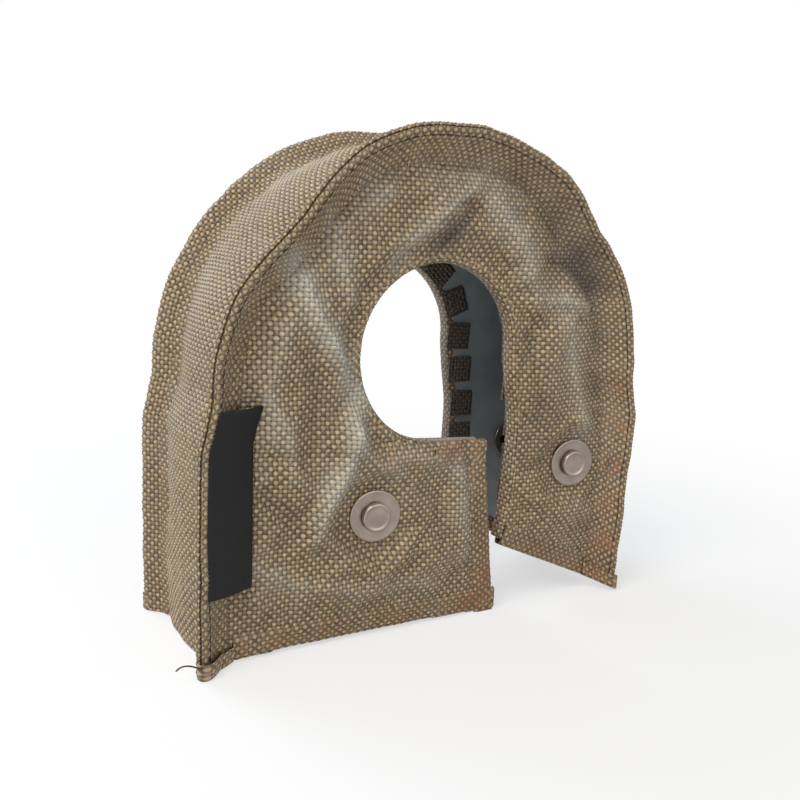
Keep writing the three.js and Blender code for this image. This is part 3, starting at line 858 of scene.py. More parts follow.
def join(name: str, pieces: Sequence[bpy.types.Object]) -> bpy.types.Object:
    """Joins sheets of one cloth to one piece.

    Args:
        name: name of the joined piece.
        pieces: its sheets.

    Returns:
        The joined piece.
    """
    first = pieces[0]
    with bpy.context.temp_override(
        active_object=first, object=first, selected_objects=pieces, selected_editable_objects=pieces
    ):
        bpy.ops.object.join()
    first.name = name
    first.data.name = name
    return first


# Rust of the cloth, with painted sheen on pale patches and painted shade on dark patches
@dataclass(frozen=True)
class Patch:
    """A soft patch on a face.

    Args:
        x: place across.
        z: place up.
        radius: its half width.
        amount: its strength.
    """

    x: float
    z: float
    radius: float
    amount: float

    def at(self, x: np.ndarray, z: np.ndarray) -> np.ndarray:
        """Strength at places of the face."""
        return self.amount * np.exp(-((x - self.x) ** 2 + (z - self.z) ** 2) / self.radius**2)


RUSTY = (
    Patch(90, 92, 5, 0.8), Patch(91, 74, 5, 0.7), Patch(90, 56, 5, 0.9), Patch(89, 38, 5, 0.7),
    Patch(88, 22, 6, 0.9), Patch(84, 8, 7, 0.8), Patch(28, 15, 4, 1.1), Patch(24, 8, 4, 1.2),
    Patch(19, 2, 4, 1.1), Patch(27, 52, 4, 0.6), Patch(4, 71, 5, 0.4), Patch(29, 36, 4, 0.6),
    Patch(29, 24, 4, 0.6), Patch(-10, 66, 5, 0.5), Patch(-22, 68, 5, 0.4),
)
# Painted sheen: patches where fold crests catch the key light
PAINTED_SHEEN = (
    Patch(-60, 134, 8, 0.6), Patch(-50, 114, 7, 0.7), Patch(-40, 92, 7, 0.8), Patch(-44, 62, 8, 0.7),
    Patch(-45, 140, 6, 0.5), Patch(14, 130, 4, 0.7), Patch(54, 127, 6, 0.6), Patch(10, 44, 6, 0.5),
    Patch(-10, 172, 7, 0.4), Patch(14, 173, 7, 0.5), Patch(-66, 24, 8, 0.4), Patch(-32, 164, 7, 0.5),
)
# Painted shade: patches in the recess under the arch and in hollows between folds
PAINTED_SHADE = (
    Patch(50, 158, 9, 0.6), Patch(62, 144, 9, 0.7), Patch(70, 132, 8, 0.7), Patch(-2, 152, 6, 0.5),
    Patch(47, 86, 7, 0.3), Patch(76, 112, 7, 0.5), Patch(80, 92, 6, 0.5), Patch(30, 170, 8, 0.3),
)


def face_rust_and_painted_light(points: np.ndarray, side: Side, seed: int) -> np.ndarray:
    """Rust of a face, with painted sheen on pale patches and fold crests, painted shade on dark patches
    and in hollows, and a little uneven tone.

    Args:
        points: places in millimetres.
        side: the face; the back has less rust, painted sheen and painted shade.
        seed: picks its uneven patches.

    Returns:
        Three numbers for each point: rust, painted sheen and painted shade.
    """
    x, z = points[:, 0], points[:, 2]
    share = 1.0 if side is Side.FRONT else 0.45
    uneven = soft_noise(x + 200, z + 200, 17.0, seed)
    fine = soft_noise(x + 200, z + 200, 5.0, seed + 1)
    rust = share * sum(patch.at(x, z) for patch in RUSTY) * (0.8 + 0.4 * fine)
    folds = FRONT_FOLDS if side is Side.FRONT else BACK_FOLDS
    height = sum(fold.at(x, z) for fold in folds)
    # Painted sheen on the pale patches and on fold crests, with a little uneven tone
    painted_sheen_and_tone = share * sum(patch.at(x, z) for patch in PAINTED_SHEEN) * 0.45 + 0.1 * uneven + 0.06 * fine
    painted_sheen_and_tone = painted_sheen_and_tone + 0.2 * height.clip(0.0)
    # Painted shade on the dark patches and in hollows between folds, with a little uneven tone
    dark = share * sum(patch.at(x, z) for patch in PAINTED_SHADE) - 0.1 * uneven + 0.16 * (-height).clip(0.0)
    return np.stack([rust, painted_sheen_and_tone, dark], -1)


# Materials
def add_node(
    tree: bpy.types.NodeTree, kind: str, settings: dict | None = None, inputs: dict | None = None
) -> bpy.types.Node:
    """Adds a node to a material.

    Args:
        tree: the material's nodes.
        kind: the node's type.
        settings: its own settings.
        inputs: for a socket's name or place, a plain value or another node's output.

    Returns:
        The node.
    """
    node = tree.nodes.new(kind)
    for name, value in (settings or {}).items():
        setattr(node, name, value)
    for key, value in (inputs or {}).items():
        if isinstance(value, bpy.types.NodeSocket):
            tree.links.new(value, node.inputs[key])
        else:
            node.inputs[key].default_value = value
    return node


def maths(tree: bpy.types.NodeTree, operation: str, *values: object) -> bpy.types.NodeSocket:
    """One step of arithmetic on numbers that vary over a surface.

    Args:
        tree: the material's nodes.
        operation: what is done.
        values: plain numbers and outputs of other nodes.

    Returns:
        The result.
    """
    inputs = dict(enumerate(values))
    return add_node(tree, "ShaderNodeMath", {"operation": operation}, inputs).outputs[0]


def blend(
    tree: bpy.types.NodeTree, share: object, first: object, second: object
) -> bpy.types.NodeSocket:
    """Mixes two colours.

    Args:
        tree: the material's nodes.
        share: how much of the second.
        first: a linear colour or an output.
        second: a linear colour or an output.

    Returns:
        The mixed colour.
    """
    node = add_node(tree, "ShaderNodeMix", {"data_type": "RGBA"}, {0: share, 6: first, 7: second})
    return node.outputs[2]


def new_material(name: str) -> tuple[bpy.types.Material, bpy.types.NodeTree, bpy.types.Node]:
    """A material with a surface shader and nothing else.

    Args:
        name: its name.

    Returns:
        The material, its nodes and its surface shader.
    """
    material = bpy.data.materials.new(name)
    material.use_nodes = True
    tree = material.node_tree
    return material, tree, tree.nodes["Principled BSDF"]


@dataclass(frozen=True)
class BasaltCloth:
    """Plain-woven basalt fibre cloth, scoured and heat-set: glossy tan-brown yarns, lightened on their
    tops by a painted highlight, with painted shade in the gaps between them.
    """

    name: str = "basalt_fibre_cloth_plain_woven"
    yarn: str = "#4e391d"
    # Painted highlight colour, given to the tops of the yarns
    crown_highlight: str = "#c9ae80"
    # Painted shade colour, given to the gaps between the yarns
    gap: str = "#0d0905"
    rust: str = "#8a4a1c"
    # Painted sheen colour, silvery
    painted_sheen_colour: str = "#c9ccbf"
    # Painted shade colour, near-black brown
    painted_shade_colour: str = "#20170d"
    roughness: float = 0.4

    def build(self) -> bpy.types.Material:
        """Makes the material."""
        material, tree, shader = new_material(self.name)
        weave = add_node(tree, "ShaderNodeUVMap", {"uv_map": "weave"})
        split = add_node(tree, "ShaderNodeSeparateXYZ", None, {0: weave.outputs[0]})
        u, v = split.outputs[0], split.outputs[1]
        column, row = maths(tree, "ROUND", u), maths(tree, "ROUND", v)
        across, along = maths(tree, "SUBTRACT", u, column), maths(tree, "SUBTRACT", v, row)

        def wave(place: bpy.types.NodeSocket) -> bpy.types.NodeSocket:
            return maths(tree, "COSINE", maths(tree, "MULTIPLY", place, math.pi))

        def yarn(side: object, run: object, over: object, sign: float) -> bpy.types.NodeSocket:
            flat = maths(tree, "MULTIPLY", side, side)
            body = maths(tree, "SUBTRACT", 1.0, maths(tree, "MULTIPLY", flat, 3.3))
            rise = maths(tree, "MULTIPLY", maths(tree, "MULTIPLY", wave(run), wave(over)), sign)
            return maths(tree, "ADD", maths(tree, "MAXIMUM", body, -0.3), rise)

        warp = yarn(across, v, column, 0.9)
        weft = yarn(along, u, row, -0.9)
        height = maths(tree, "MAXIMUM", warp, weft)
        # From the weave height: painted highlight towards the tops of the yarns, painted shade down
        # their sides
        crown_highlight = add_node(tree, "ShaderNodeMapRange", None, {0: height, 1: 0.72, 2: 1.6}).outputs[0]
        body = add_node(tree, "ShaderNodeMapRange", None, {0: height, 1: 0.2, 2: 0.95}).outputs[0]
        over = maths(tree, "GREATER_THAN", warp, weft)

        place = add_node(tree, "ShaderNodeCombineXYZ", None, {0: column, 1: row})
        chance = add_node(tree, "ShaderNodeTexWhiteNoise", None, {0: place.outputs[0]}).outputs[0]
        # Attribute channels: rust, then painted sheen, then painted shade
        rust_and_painted_light = add_node(tree, "ShaderNodeAttribute", {"attribute_name": "rust_and_painted_light"})
        rust_and_light_channels = add_node(tree, "ShaderNodeSeparateColor", None, {0: rust_and_painted_light.outputs["Color"]})
        painted_sheen_and_tone, dark = rust_and_light_channels.outputs[1], rust_and_light_channels.outputs[2]
        patchy = maths(tree, "MULTIPLY_ADD", chance, 1.3, 0.25)
        rust = maths(tree, "MINIMUM", maths(tree, "MULTIPLY", rust_and_light_channels.outputs[0], patchy), 1.2)

        # Painted highlight on the yarn tops, strongest where the warp lies over, varied at random
        share = maths(tree, "MULTIPLY_ADD", over, 0.6, maths(tree, "MULTIPLY", chance, 0.35))
        lift = maths(tree, "MULTIPLY", crown_highlight, share)
        thread = blend(tree, lift, linear(self.yarn), linear(self.crown_highlight))
        # Painted sheen: pale patches and fold crests take the silvery colour
        thread = blend(tree, maths(tree, "MULTIPLY", painted_sheen_and_tone, 0.5), thread, linear(self.painted_sheen_colour))
        thread = blend(tree, maths(tree, "MULTIPLY", rust, 0.62), thread, linear(self.rust))
        # Painted shade: dark patches and hollows take the near-black brown
        thread = blend(tree, maths(tree, "MULTIPLY", dark, 0.8), thread, linear(self.painted_shade_colour))
        # Painted shade in the gaps between the yarns
        cloth = blend(tree, body, linear(self.gap), thread)
        tree.links.new(cloth, shader.inputs["Base Color"])

        rough = maths(tree, "MULTIPLY_ADD", chance, 0.16, self.roughness)
        rough = maths(tree, "MULTIPLY_ADD", painted_sheen_and_tone, -0.1, rough)
        tree.links.new(rough, shader.inputs["Roughness"])
        fibres = add_node(
            tree, "ShaderNodeTexNoise", None, {0: weave.outputs[0], "Scale": 9.0, "Detail": 3.0}
        )
        relief = maths(tree, "MULTIPLY_ADD", fibres.outputs[0], 0.22, height)
        bump = add_node(
            tree, "ShaderNodeBump", None, {"Strength": 0.8, "Distance": 0.3 * MM, "Height": relief}
        )
        tree.links.new(bump.outputs[0], shader.inputs["Normal"])
        shader.inputs["IOR"].default_value = 1.6
        shader.inputs["Specular IOR Level"].default_value = 0.62
        shader.inputs["Sheen Weight"].default_value = 0.12
        return material


@dataclass(frozen=True)
class GlassLining:
    """Fine glass-fibre lining cloth, bleached and pressed: pale blue-grey with a soft sheen."""

    name: str = "glass_fibre_lining_cloth_woven"
    light: str = "#aeb4b6"
    shade: str = "#7f878a"
    thread_pitch: float = 0.9

    def build(self) -> bpy.types.Material:
        """Makes the material."""
        material, tree, shader = new_material(self.name)
        weave = add_node(tree, "ShaderNodeUVMap", {"uv_map": "weave"})
        scale = YARN_PITCH / self.thread_pitch
        finer = add_node(tree, "ShaderNodeMapping", None, {0: weave.outputs[0], 3: (scale, scale, 1)})
        split = add_node(tree, "ShaderNodeSeparateXYZ", None, {0: finer.outputs[0]})
        waves = [
            maths(tree, "COSINE", maths(tree, "MULTIPLY", split.outputs[i], 2.0 * math.pi))
            for i in (0, 1)
        ]
        threads = maths(tree, "MULTIPLY", *waves)
        cloud = add_node(
            tree, "ShaderNodeTexNoise", None, {0: weave.outputs[0], "Scale": 0.12, "Detail": 4.0}
        )
        share = maths(tree, "MULTIPLY_ADD", threads, 0.18, cloud.outputs[0])
        colour = blend(tree, share, linear(self.shade), linear(self.light))
        tree.links.new(colour, shader.inputs["Base Color"])
        bump = add_node(
            tree, "ShaderNodeBump", None, {"Strength": 0.5, "Distance": 0.1 * MM, "Height": threads}
        )
        tree.links.new(bump.outputs[0], shader.inputs["Normal"])
        shader.inputs["Roughness"].default_value = 0.6
        shader.inputs["Sheen Weight"].default_value = 0.2
        return material


@dataclass(frozen=True)
class MineralMat:
    """Needled mineral fibre mat: off-white, matt, with tangled fibres about 0.3 mm apart."""

    name: str = "mineral_fibre_mat_needled"
    light: str = "#d9d3c4"
    shade: str = "#a89f8a"

    def build(self) -> bpy.types.Material:
        """Makes the material."""
        material, tree, shader = new_material(self.name)
        place = add_node(tree, "ShaderNodeTexCoord")
        fibres = add_node(
            tree, "ShaderNodeTexNoise", None,
            {0: place.outputs["Object"], "Scale": 900.0, "Detail": 6.0, "Distortion": 2.5},
        )
        colour = blend(tree, fibres.outputs[0], linear(self.shade), linear(self.light))
        tree.links.new(colour, shader.inputs["Base Color"])
        bump = add_node(
            tree, "ShaderNodeBump", None,
            {"Strength": 0.9, "Distance": 0.6 * MM, "Height": fibres.outputs[0]},
        )
        tree.links.new(bump.outputs[0], shader.inputs["Normal"])
        shader.inputs["Roughness"].default_value = 0.95
        return material


@dataclass(frozen=True)
class PressedSteel:
    """Stainless steel pressed from sheet: softly mirror-like, with hair scratches and heat tint."""

    name: str = "stainless_steel_pressed"
    bright: str = "#b5aaa0"
    tinted: str = "#85766a"

    def build(self) -> bpy.types.Material:
        """Makes the material."""
        material, tree, shader = new_material(self.name)
        place = add_node(tree, "ShaderNodeTexCoord")
        stretch = add_node(
            tree, "ShaderNodeMapping", None, {0: place.outputs["Object"], 3: (1400.0, 1400.0, 160.0)}
        )
        hair = add_node(
            tree, "ShaderNodeTexNoise", None, {0: stretch.outputs[0], "Scale": 1.0, "Detail": 3.0}
        )
        cloud = add_node(
            tree, "ShaderNodeTexNoise", None, {0: place.outputs["Object"], "Scale": 150.0, "Detail": 3.0}
        )
        colour = blend(tree, cloud.outputs[0], linear(self.tinted), linear(self.bright))
        tree.links.new(colour, shader.inputs["Base Color"])
        rough = maths(tree, "MULTIPLY_ADD", hair.outputs[0], 0.2, 0.2)
        tree.links.new(rough, shader.inputs["Roughness"])
        bump = add_node(
            tree, "ShaderNodeBump", None,
            {"Strength": 0.25, "Distance": 0.05 * MM, "Height": hair.outputs[0]},
        )
        tree.links.new(bump.outputs[0], shader.inputs["Normal"])
        shader.inputs["Metallic"].default_value = 1.0
        return material


@dataclass(frozen=True)
class SatinRibbon:
    """Black polyester satin ribbon, close woven: near black, with a faint sheen along its threads."""

    name: str = "polyester_satin_ribbon_woven"
    black: str = "#060609"
    sheen: str = "#101016"

    def build(self) -> bpy.types.Material:
        """Makes the material."""
        material, tree, shader = new_material(self.name)
        weave = add_node(tree, "ShaderNodeUVMap", {"uv_map": "weave"})
        split = add_node(tree, "ShaderNodeSeparateXYZ", None, {0: weave.outputs[0]})
        ribs = maths(tree, "SINE", maths(tree, "MULTIPLY", split.outputs[1], 2.0 * math.pi * 3.6))
        floats = maths(tree, "SINE", maths(tree, "MULTIPLY", split.outputs[0], 2.0 * math.pi * 3.6))
        threads = maths(tree, "MULTIPLY_ADD", floats, 0.4, ribs)
        share = maths(tree, "MULTIPLY_ADD", threads, 0.3, 0.4)
        colour = blend(tree, share, linear(self.black), linear(self.sheen))
        tree.links.new(colour, shader.inputs["Base Color"])
        bump = add_node(
            tree, "ShaderNodeBump", None, {"Strength": 0.4, "Distance": 0.06 * MM, "Height": threads}
        )
        tree.links.new(bump.outputs[0], shader.inputs["Normal"])
        shader.inputs["Roughness"].default_value = 0.55
        shader.inputs["Specular IOR Level"].default_value = 0.3
        return material


@dataclass(frozen=True)
class SewingThread:
    """Waxed aramid sewing thread, twisted: dark brown, with a dull shine on each twist."""

    name: str = "aramid_sewing_thread_twisted"
    dark: str = "#1a120a"
    light: str = "#3c2c1c"

    def build(self) -> bpy.types.Material:
        """Makes the material."""
        material, tree, shader = new_material(self.name)
        place = add_node(tree, "ShaderNodeTexCoord")
        twist = add_node(
            tree, "ShaderNodeTexNoise", None,
            {0: place.outputs["Object"], "Scale": 1600.0, "Detail": 2.0},
        )
        colour = blend(tree, twist.outputs[0], linear(self.dark), linear(self.light))
        tree.links.new(colour, shader.inputs["Base Color"])
        bump = add_node(
            tree, "ShaderNodeBump", None,
            {"Strength": 0.4, "Distance": 0.08 * MM, "Height": twist.outputs[0]},
        )
        tree.links.new(bump.outputs[0], shader.inputs["Normal"])
        shader.inputs["Roughness"].default_value = 0.6
        return material


@dataclass
class Finishes:
    """All materials, made once."""

    cloth: bpy.types.Material
    lining: bpy.types.Material
    mat: bpy.types.Material
    steel: bpy.types.Material
    ribbon: bpy.types.Material
    thread: bpy.types.Material

    @classmethod
    def make(cls) -> "Finishes":
        """Builds every material."""
        kinds = (BasaltCloth, GlassLining, MineralMat, PressedSteel, SatinRibbon, SewingThread)
        return cls(*(kind().build() for kind in kinds))


def dress(piece: bpy.types.Object, material: bpy.types.Material) -> None:
    """Gives a piece its finish and hangs it on the blanket.

    Args:
        piece: the piece.
        material: its material.
    """
    piece.data.materials.clear()
    piece.data.materials.append(material)
    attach(piece, "root")


# The seam ridges: two turned lobes, leaning out at 45 degrees
@dataclass(frozen=True)
class Ridge:
    """Shape of a seam ridge, whose middle plane runs down and in from the crest."""

    height: float = 8.0
    lean: float = 45.0
    lobe: float = 1.9
    gap: float = 0.3
    wobble: float = 0.5

    def point(self, down: np.ndarray, out: np.ndarray) -> tuple[np.ndarray, np.ndarray]:
        """A point of the ridge.

        Args:
            down: distance down from the crest.
            out: distance from the middle plane, to the face's side.

        Returns:
            Distance in from the crest, and distance from the blanket's middle plane.
        """
        cosine, sine = math.cos(math.radians(self.lean)), math.sin(math.radians(self.lean))
        offset = cosine * down + sine * out
        return offset, OUTLINE.half_depth - sine * down + cosine * out

    def section(self, sign: float) -> np.ndarray:
        """One lobe, from inside the gap over the tip and down its flank.

        Args:
            sign: 1 for the face's lobe, -1 for the band's.

        Returns:
            Points as distance down and distance out.
        """
        outside = self.gap / 2 + self.lobe
        radius = self.lobe / 2
        middle = (self.gap / 2 + outside) / 2
        angles = np.linspace(math.pi, 0.0, 9)
        tip = np.stack([radius - radius * np.sin(angles), middle + radius * np.cos(angles)], -1)
        start = [[3.4, self.gap / 2]]
        flank = [[down, outside + 0.25 * math.sin(math.pi * down / self.height)]
                 for down in (2.4, 4.4, 6.4, self.height)]
        points = np.concatenate([start, tip, flank])
        return points * np.array([1.0, sign])


RIDGE = Ridge()


def resample(points: np.ndarray, spacing: float) -> np.ndarray:
    """Evenly spaced points along a line.

    Args:
        points: the line.
        spacing: wanted distance between points.

    Returns:
        Points with equal gaps, at about that distance.
    """
    gaps = np.linalg.norm(np.diff(points, axis=0), axis=1)
    along = np.concatenate([[0.0], np.cumsum(gaps)])
    count = max(2, round(along[-1] / spacing) + 1)
    places = np.linspace(0.0, along[-1], count)
    return np.stack([np.interp(places, along, points[:, i]) for i in range(points.shape[1])], -1)


def relax(points: np.ndarray, rounds: int) -> np.ndarray:
    """Softens the corners of a line and keeps its ends.

    Args:
        points: the line.
        rounds: how often each point moves to the middle of its neighbours.

    Returns:
        The softened line.
    """
    soft = points.copy()
    for _ in range(rounds):
        soft[1:-1] = soft[1:-1] / 2 + (soft[:-2] + soft[2:]) / 4
    return soft


def ridge_wander(travel: np.ndarray) -> tuple[np.ndarray, np.ndarray]:
    """How a hand-sewn ridge strays from its line.

    Args:
        travel: distances along the crest.

    Returns:
        Movement down the ridge, and out of its middle plane.
    """
    slow = soft_noise(travel, travel * 0, 19.0, 31)
    quick = soft_noise(travel, travel * 0, 6.0, 32)
    down = RIDGE.wobble * (slow + 0.6 * quick)
    out = RIDGE.wobble * 0.8 * soft_noise(travel, travel * 0, 12.0, 33)
    return down + RIDGE.wobble, out


@dataclass
class TravelSheet:
    """Cloth that follows the blanket's course, with a turned hem at both ends.

    Args:
        name: the piece's name.
        section: across the course, distance in from the crest and signed depth.
        ridge_share: how much each point of the section follows the ridge's wandering.
        course: the stations that it follows.
        turn_radius: radius of the turn at each hem.
        turn_depth: how far the hem runs up inside.
    """

    name: str
    section: np.ndarray
    ridge_share: np.ndarray
    course: Course
    turn_radius: float = 0.9
    turn_depth: float = 5.4

    def build(
        self, shape: Callable[[Course, np.ndarray, np.ndarray], tuple[np.ndarray, np.ndarray]]
    ) -> bpy.types.Object:
        """Makes the sheet.

        Args:
            shape: from stations, distances in from the crest and signed depths, gives both again
                with the unevenness of the cloth added.

        Returns:
            The sheet, with its weave.
        """
        extra = self.turn_radius * math.pi + self.turn_depth
        length = self.course.length - 2 * self.turn_radius
        columns = round((length + 2 * extra) / CELL)
        rows = len(self.section) - 1
        grid = create_sheet(columns, rows)
        column, row = grid_places(grid, columns, rows)
        travel = column * CELL - extra
        inside = np.clip(travel, 0.0, length) + self.turn_radius
        beyond = np.maximum(-travel, travel - length).clip(0.0)
        angle = np.minimum(beyond / self.turn_radius, math.pi)
        run = (beyond - self.turn_radius * math.pi).clip(0.0)
        drop = self.turn_radius * np.sin(angle) - run
        tuck = self.turn_radius * (1.0 - np.cos(angle))
        index = row.astype(int)
        tangent = np.gradient(self.section, axis=0)
        tangent /= np.linalg.norm(tangent, axis=1)[:, None]
        inward = np.stack([tangent[:, 1], -tangent[:, 0]], -1)
        middle = len(inward) // 2
        if inward[middle, 0] < 0:
            inward = -inward
        stations = self.course.at(inside)
        relief = weave_relief(column, row)
        move = tuck - np.where(beyond > 0, 0.0, relief)
        offset = self.section[index, 0] + inward[index, 0] * move
        depth = self.section[index, 1] + inward[index, 1] * move
        down, out = ridge_wander(stations.travel)
        share = self.ridge_share[index]
        turn = math.cos(math.radians(RIDGE.lean))
        offset = offset + share * turn * (down + out)
        depth = depth + np.sign(depth) * share * turn * (out - down)
        offset, depth = shape(stations, offset, depth)
        towards, _ = stations.directions()
        inside_depth = OUTLINE.half_depth - 12.0
        dip_share = np.clip((inside_depth - depth) / (2 * inside_depth), 0.0, 1.0)
        place = stations.place(offset, dip_share)
        place[:, 1] -= drop
        place = OUTLINE.hem_lift(place) if np.all(depth < 0) or np.all(depth > 0) else place
        for vertex, (x, z), y in zip(grid.verts, place, depth):
            vertex.co = (x, y, max(z, 0.05))
        piece = mesh_object(self.name, grid)
        yarns = np.stack([column, row], -1) / CELLS_PER_YARN
        points = corners(piece)
        side = Side.BACK if points[:, 1].mean() > 5 else Side.FRONT
        rust_and_painted_light = face_rust_and_painted_light(points, side, 71)
        paint(piece, yarns, rust_and_painted_light)
        return piece


# The cloth of one face
@dataclass
class FaceCloth:
    """One woven face: its padded middle, its lobe of the seam ridge, its rim and its hems.

    Args:
        form: the padded shape.
        name: name of the piece.
        node: the frame's node that it stands for.
    """

    form: FaceForm
    name: str
    node: str
    hem_width: float = 9.0
    hem_start: float = 14.5

    def build(self, finishes: Finishes) -> bpy.types.Object:
        """Makes and dresses the face.

        Args:
            finishes: the materials.

        Returns:
            The finished face.
        """
        tree = self.form.tree()
        sheets = [self.build_middle(tree), self.build_lobe()]
        sheets += self.build_rim(tree)
        sheets += self.build_hems(tree)
        piece = join(self.name, sheets)
        dress(piece, finishes.cloth)
        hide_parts(self.node)
        return piece

    def build_middle(self, tree: BVHTree) -> bpy.types.Object:
        """The padded middle, on a lattice whose lines are the yarns.

        Args:
            tree: the padded shape.

        Returns:
            The sheet.
        """
        half_columns = math.ceil((OUTLINE.arch_radius + 4.0) / CELL)
        rows = math.ceil((OUTLINE.arch_centre + OUTLINE.arch_radius) / CELL)
        columns = 2 * half_columns
        grid = create_sheet(columns, rows)
        column, row = grid_places(grid, columns, rows)
        relief = weave_relief(column, row)
        side = self.form.side.value
        far = Vector((0.0, side * 60.0, 0.0))
        back = Vector((0.0, -side, 0.0))
        missed = []
        for vertex, i, j, lift in zip(grid.verts, column, row, relief):
            far.x, far.z = (i - half_columns) * CELL, j * CELL
            hit = tree.ray_cast(far, back)[0]
            if hit is None:
                missed.append(vertex)
            else:
                vertex.co = (far.x, hit.y + side * lift, far.z)
        bmesh.ops.delete(grid, geom=missed, context="VERTS")
        piece = mesh_object(f"{self.name}_middle", grid)
        points = corners(piece)
        yarns = np.stack([points[:, 0] / YARN_PITCH + half_columns / CELLS_PER_YARN,
                          points[:, 2] / YARN_PITCH], -1)
        paint(piece, yarns, face_rust_and_painted_light(points, self.form.side, 51))
        face_outward(piece, np.array([0.0, side, 0.0]))
        return piece

    def build_lobe(self) -> bpy.types.Object:
        """The face's lobe of the ridge and its flank, down into the valley."""
        lobe = RIDGE.section(1.0)
        offset, depth = RIDGE.point(lobe[:, 0], lobe[:, 1])
        flank = np.stack([offset, depth], -1)
        valley = OUTLINE.half_depth - self.form.valley_recess
        end = [[self.form.valley_width, valley + 0.3], [self.form.valley_width + 1.6, valley - 0.6]]
        section = relax(resample(np.concatenate([flank, end]), CELL), 2)
        on_ridge = 1.0 - smooth(section[:, 0], 5.5, 10.5)
        side = self.form.side.value
        sheet = TravelSheet(f"{self.name}_lobe", section * np.array([1.0, side]), on_ridge,
                            self.form.course)
        blend_start, blend_end = 7.5, 11.5

        def shape(stations: Course, offset: np.ndarray, depth: np.ndarray):
            """Lets the foot of the flank follow the padded shape."""
            level = self.form.level(stations, np.maximum(offset, self.form.valley_width))
            base = OUTLINE.half_depth - self.form.valley_recess
            follow = smooth(offset, blend_start, blend_end)
            ripple = 0.35 * soft_noise(stations.travel, offset * 0.3, 4.0, 41)
            ripple = ripple * smooth(offset, 2.0, 5.0)
            return offset, depth + side * ((level - base) * follow + ripple * (1.0 - follow))

        piece = sheet.build(shape)
        face_outward(piece, np.array([0.0, side, 0.0]))
        return piece

    def edge_strip(
        self, name: str, tree: BVHTree, path: np.ndarray, inward: np.ndarray, section: np.ndarray
    ) -> bpy.types.Object:
        """Cloth turned round an edge of the face.

        Args:
            name: the sheet's name.
            tree: the padded shape.
            path: the edge as evenly spaced x and z.
            inward: at each point of the path, the way into the face.
            section: distance in from the edge, and height above the face.

        Returns:
            The sheet.
        """
        section = relax(resample(section, CELL), 1)
        columns, rows = len(path) - 1, len(section) - 1
        grid = create_sheet(columns, rows)
        column, row = grid_places(grid, columns, rows)
        i, j = column.astype(int), row.astype(int)
        place = path[i] + inward[i] * section[j, :1]
        seen = path[i] + inward[i] * np.maximum(section[j, :1], self.form.last + 0.2)
        side = self.form.side.value
        guess = side * (OUTLINE.half_depth - self.form.rim_recess)
        relief = weave_relief(column, row) * (section[j, 1] > -2.0)
        ripple = 0.18 * soft_noise(column * CELL, row * CELL * 0.5, 4.5, 61)
        place = OUTLINE.hem_lift(place)
        for k, vertex in enumerate(grid.verts):
            hit = tree.find_nearest((seen[k, 0], guess, seen[k, 1]))[0]
            level = hit.y + side * (section[j[k], 1] + relief[k] + ripple[k])
            vertex.co = (place[k, 0], level, max(place[k, 1], 0.05))
        piece = mesh_object(name, grid)
        yarns = np.stack([column, row], -1) / CELLS_PER_YARN
        points = corners(piece)
        rust_and_painted_light = face_rust_and_painted_light(points, self.form.side, 57)
        if "hem" in name:
            rust_and_painted_light[:, 0] += 0.22 + 0.2 * soft_noise(column * CELL, row * CELL, 9.0, 58)
        paint(piece, yarns, rust_and_painted_light)
        towards = np.array([0.0, side, 0.0])
        face_outward(piece, np.broadcast_to(towards, (len(piece.data.polygons), 3)))
        return piece

    def inner_edge(self, first: float, last: float) -> tuple[np.ndarray, np.ndarray]:
        """Part of the inner edge, as evenly spaced points with the way into the face.

        Args:
            first: distance along the crest where it starts.
            last: distance along the crest where it ends.

        Returns:
            Points and directions, as x and z.
        """
        stations = self.form.course.at(np.linspace(first, last, 1200))
        towards, _ = stations.directions()
        both = resample(np.concatenate([stations.inner, -towards], 1), CELL)
        path = resample(stations.inner, CELL)
        run = np.gradient(relax(path, 6), axis=0)
        run /= np.linalg.norm(run, axis=1)[:, None]
        normal = np.stack([run[:, 1], -run[:, 0]], -1)
        guide = np.stack(
            [np.interp(np.linspace(0, 1, len(path)), np.linspace(0, 1, len(both)), both[:, k])
             for k in (2, 3)], -1)
        normal *= np.sign((normal * guide).sum(1))[:, None]
        return path, normal

    def lip_travel(self) -> tuple[float, float]:
        """Distances along the crest where the foot's lip starts and ends."""
        corner = OUTLINE.foot_corner[1]
        top = mix(corner, OUTLINE.arch_centre, OUTLINE.lip_share)
        leg = self.form.course.at(np.linspace(0.0, OUTLINE.arch_centre, 400))
        heights = leg.outer[:, 1]
        return tuple(float(np.interp(z, heights, leg.travel)) for z in (corner, top))

    def build_rim(self, tree: BVHTree) -> list[bpy.types.Object]:
        """The edge of the round opening, rolled in over the padding."""
        section = np.array(
            [[4.2, -0.5], [3.0, -0.05], [1.9, 0.12], [0.9, -0.1], [0.25, -0.8], [0.0, -2.0],
             [0.0, -5.2], [0.3, -6.4], [1.2, -6.9], [3.2, -6.9]]
        )
        path, inward = self.inner_edge(self.lip_travel()[1], self.form.course.length - 3.0)
        return [self.edge_strip(f"{self.name}_rim", tree, path, inward, section)]

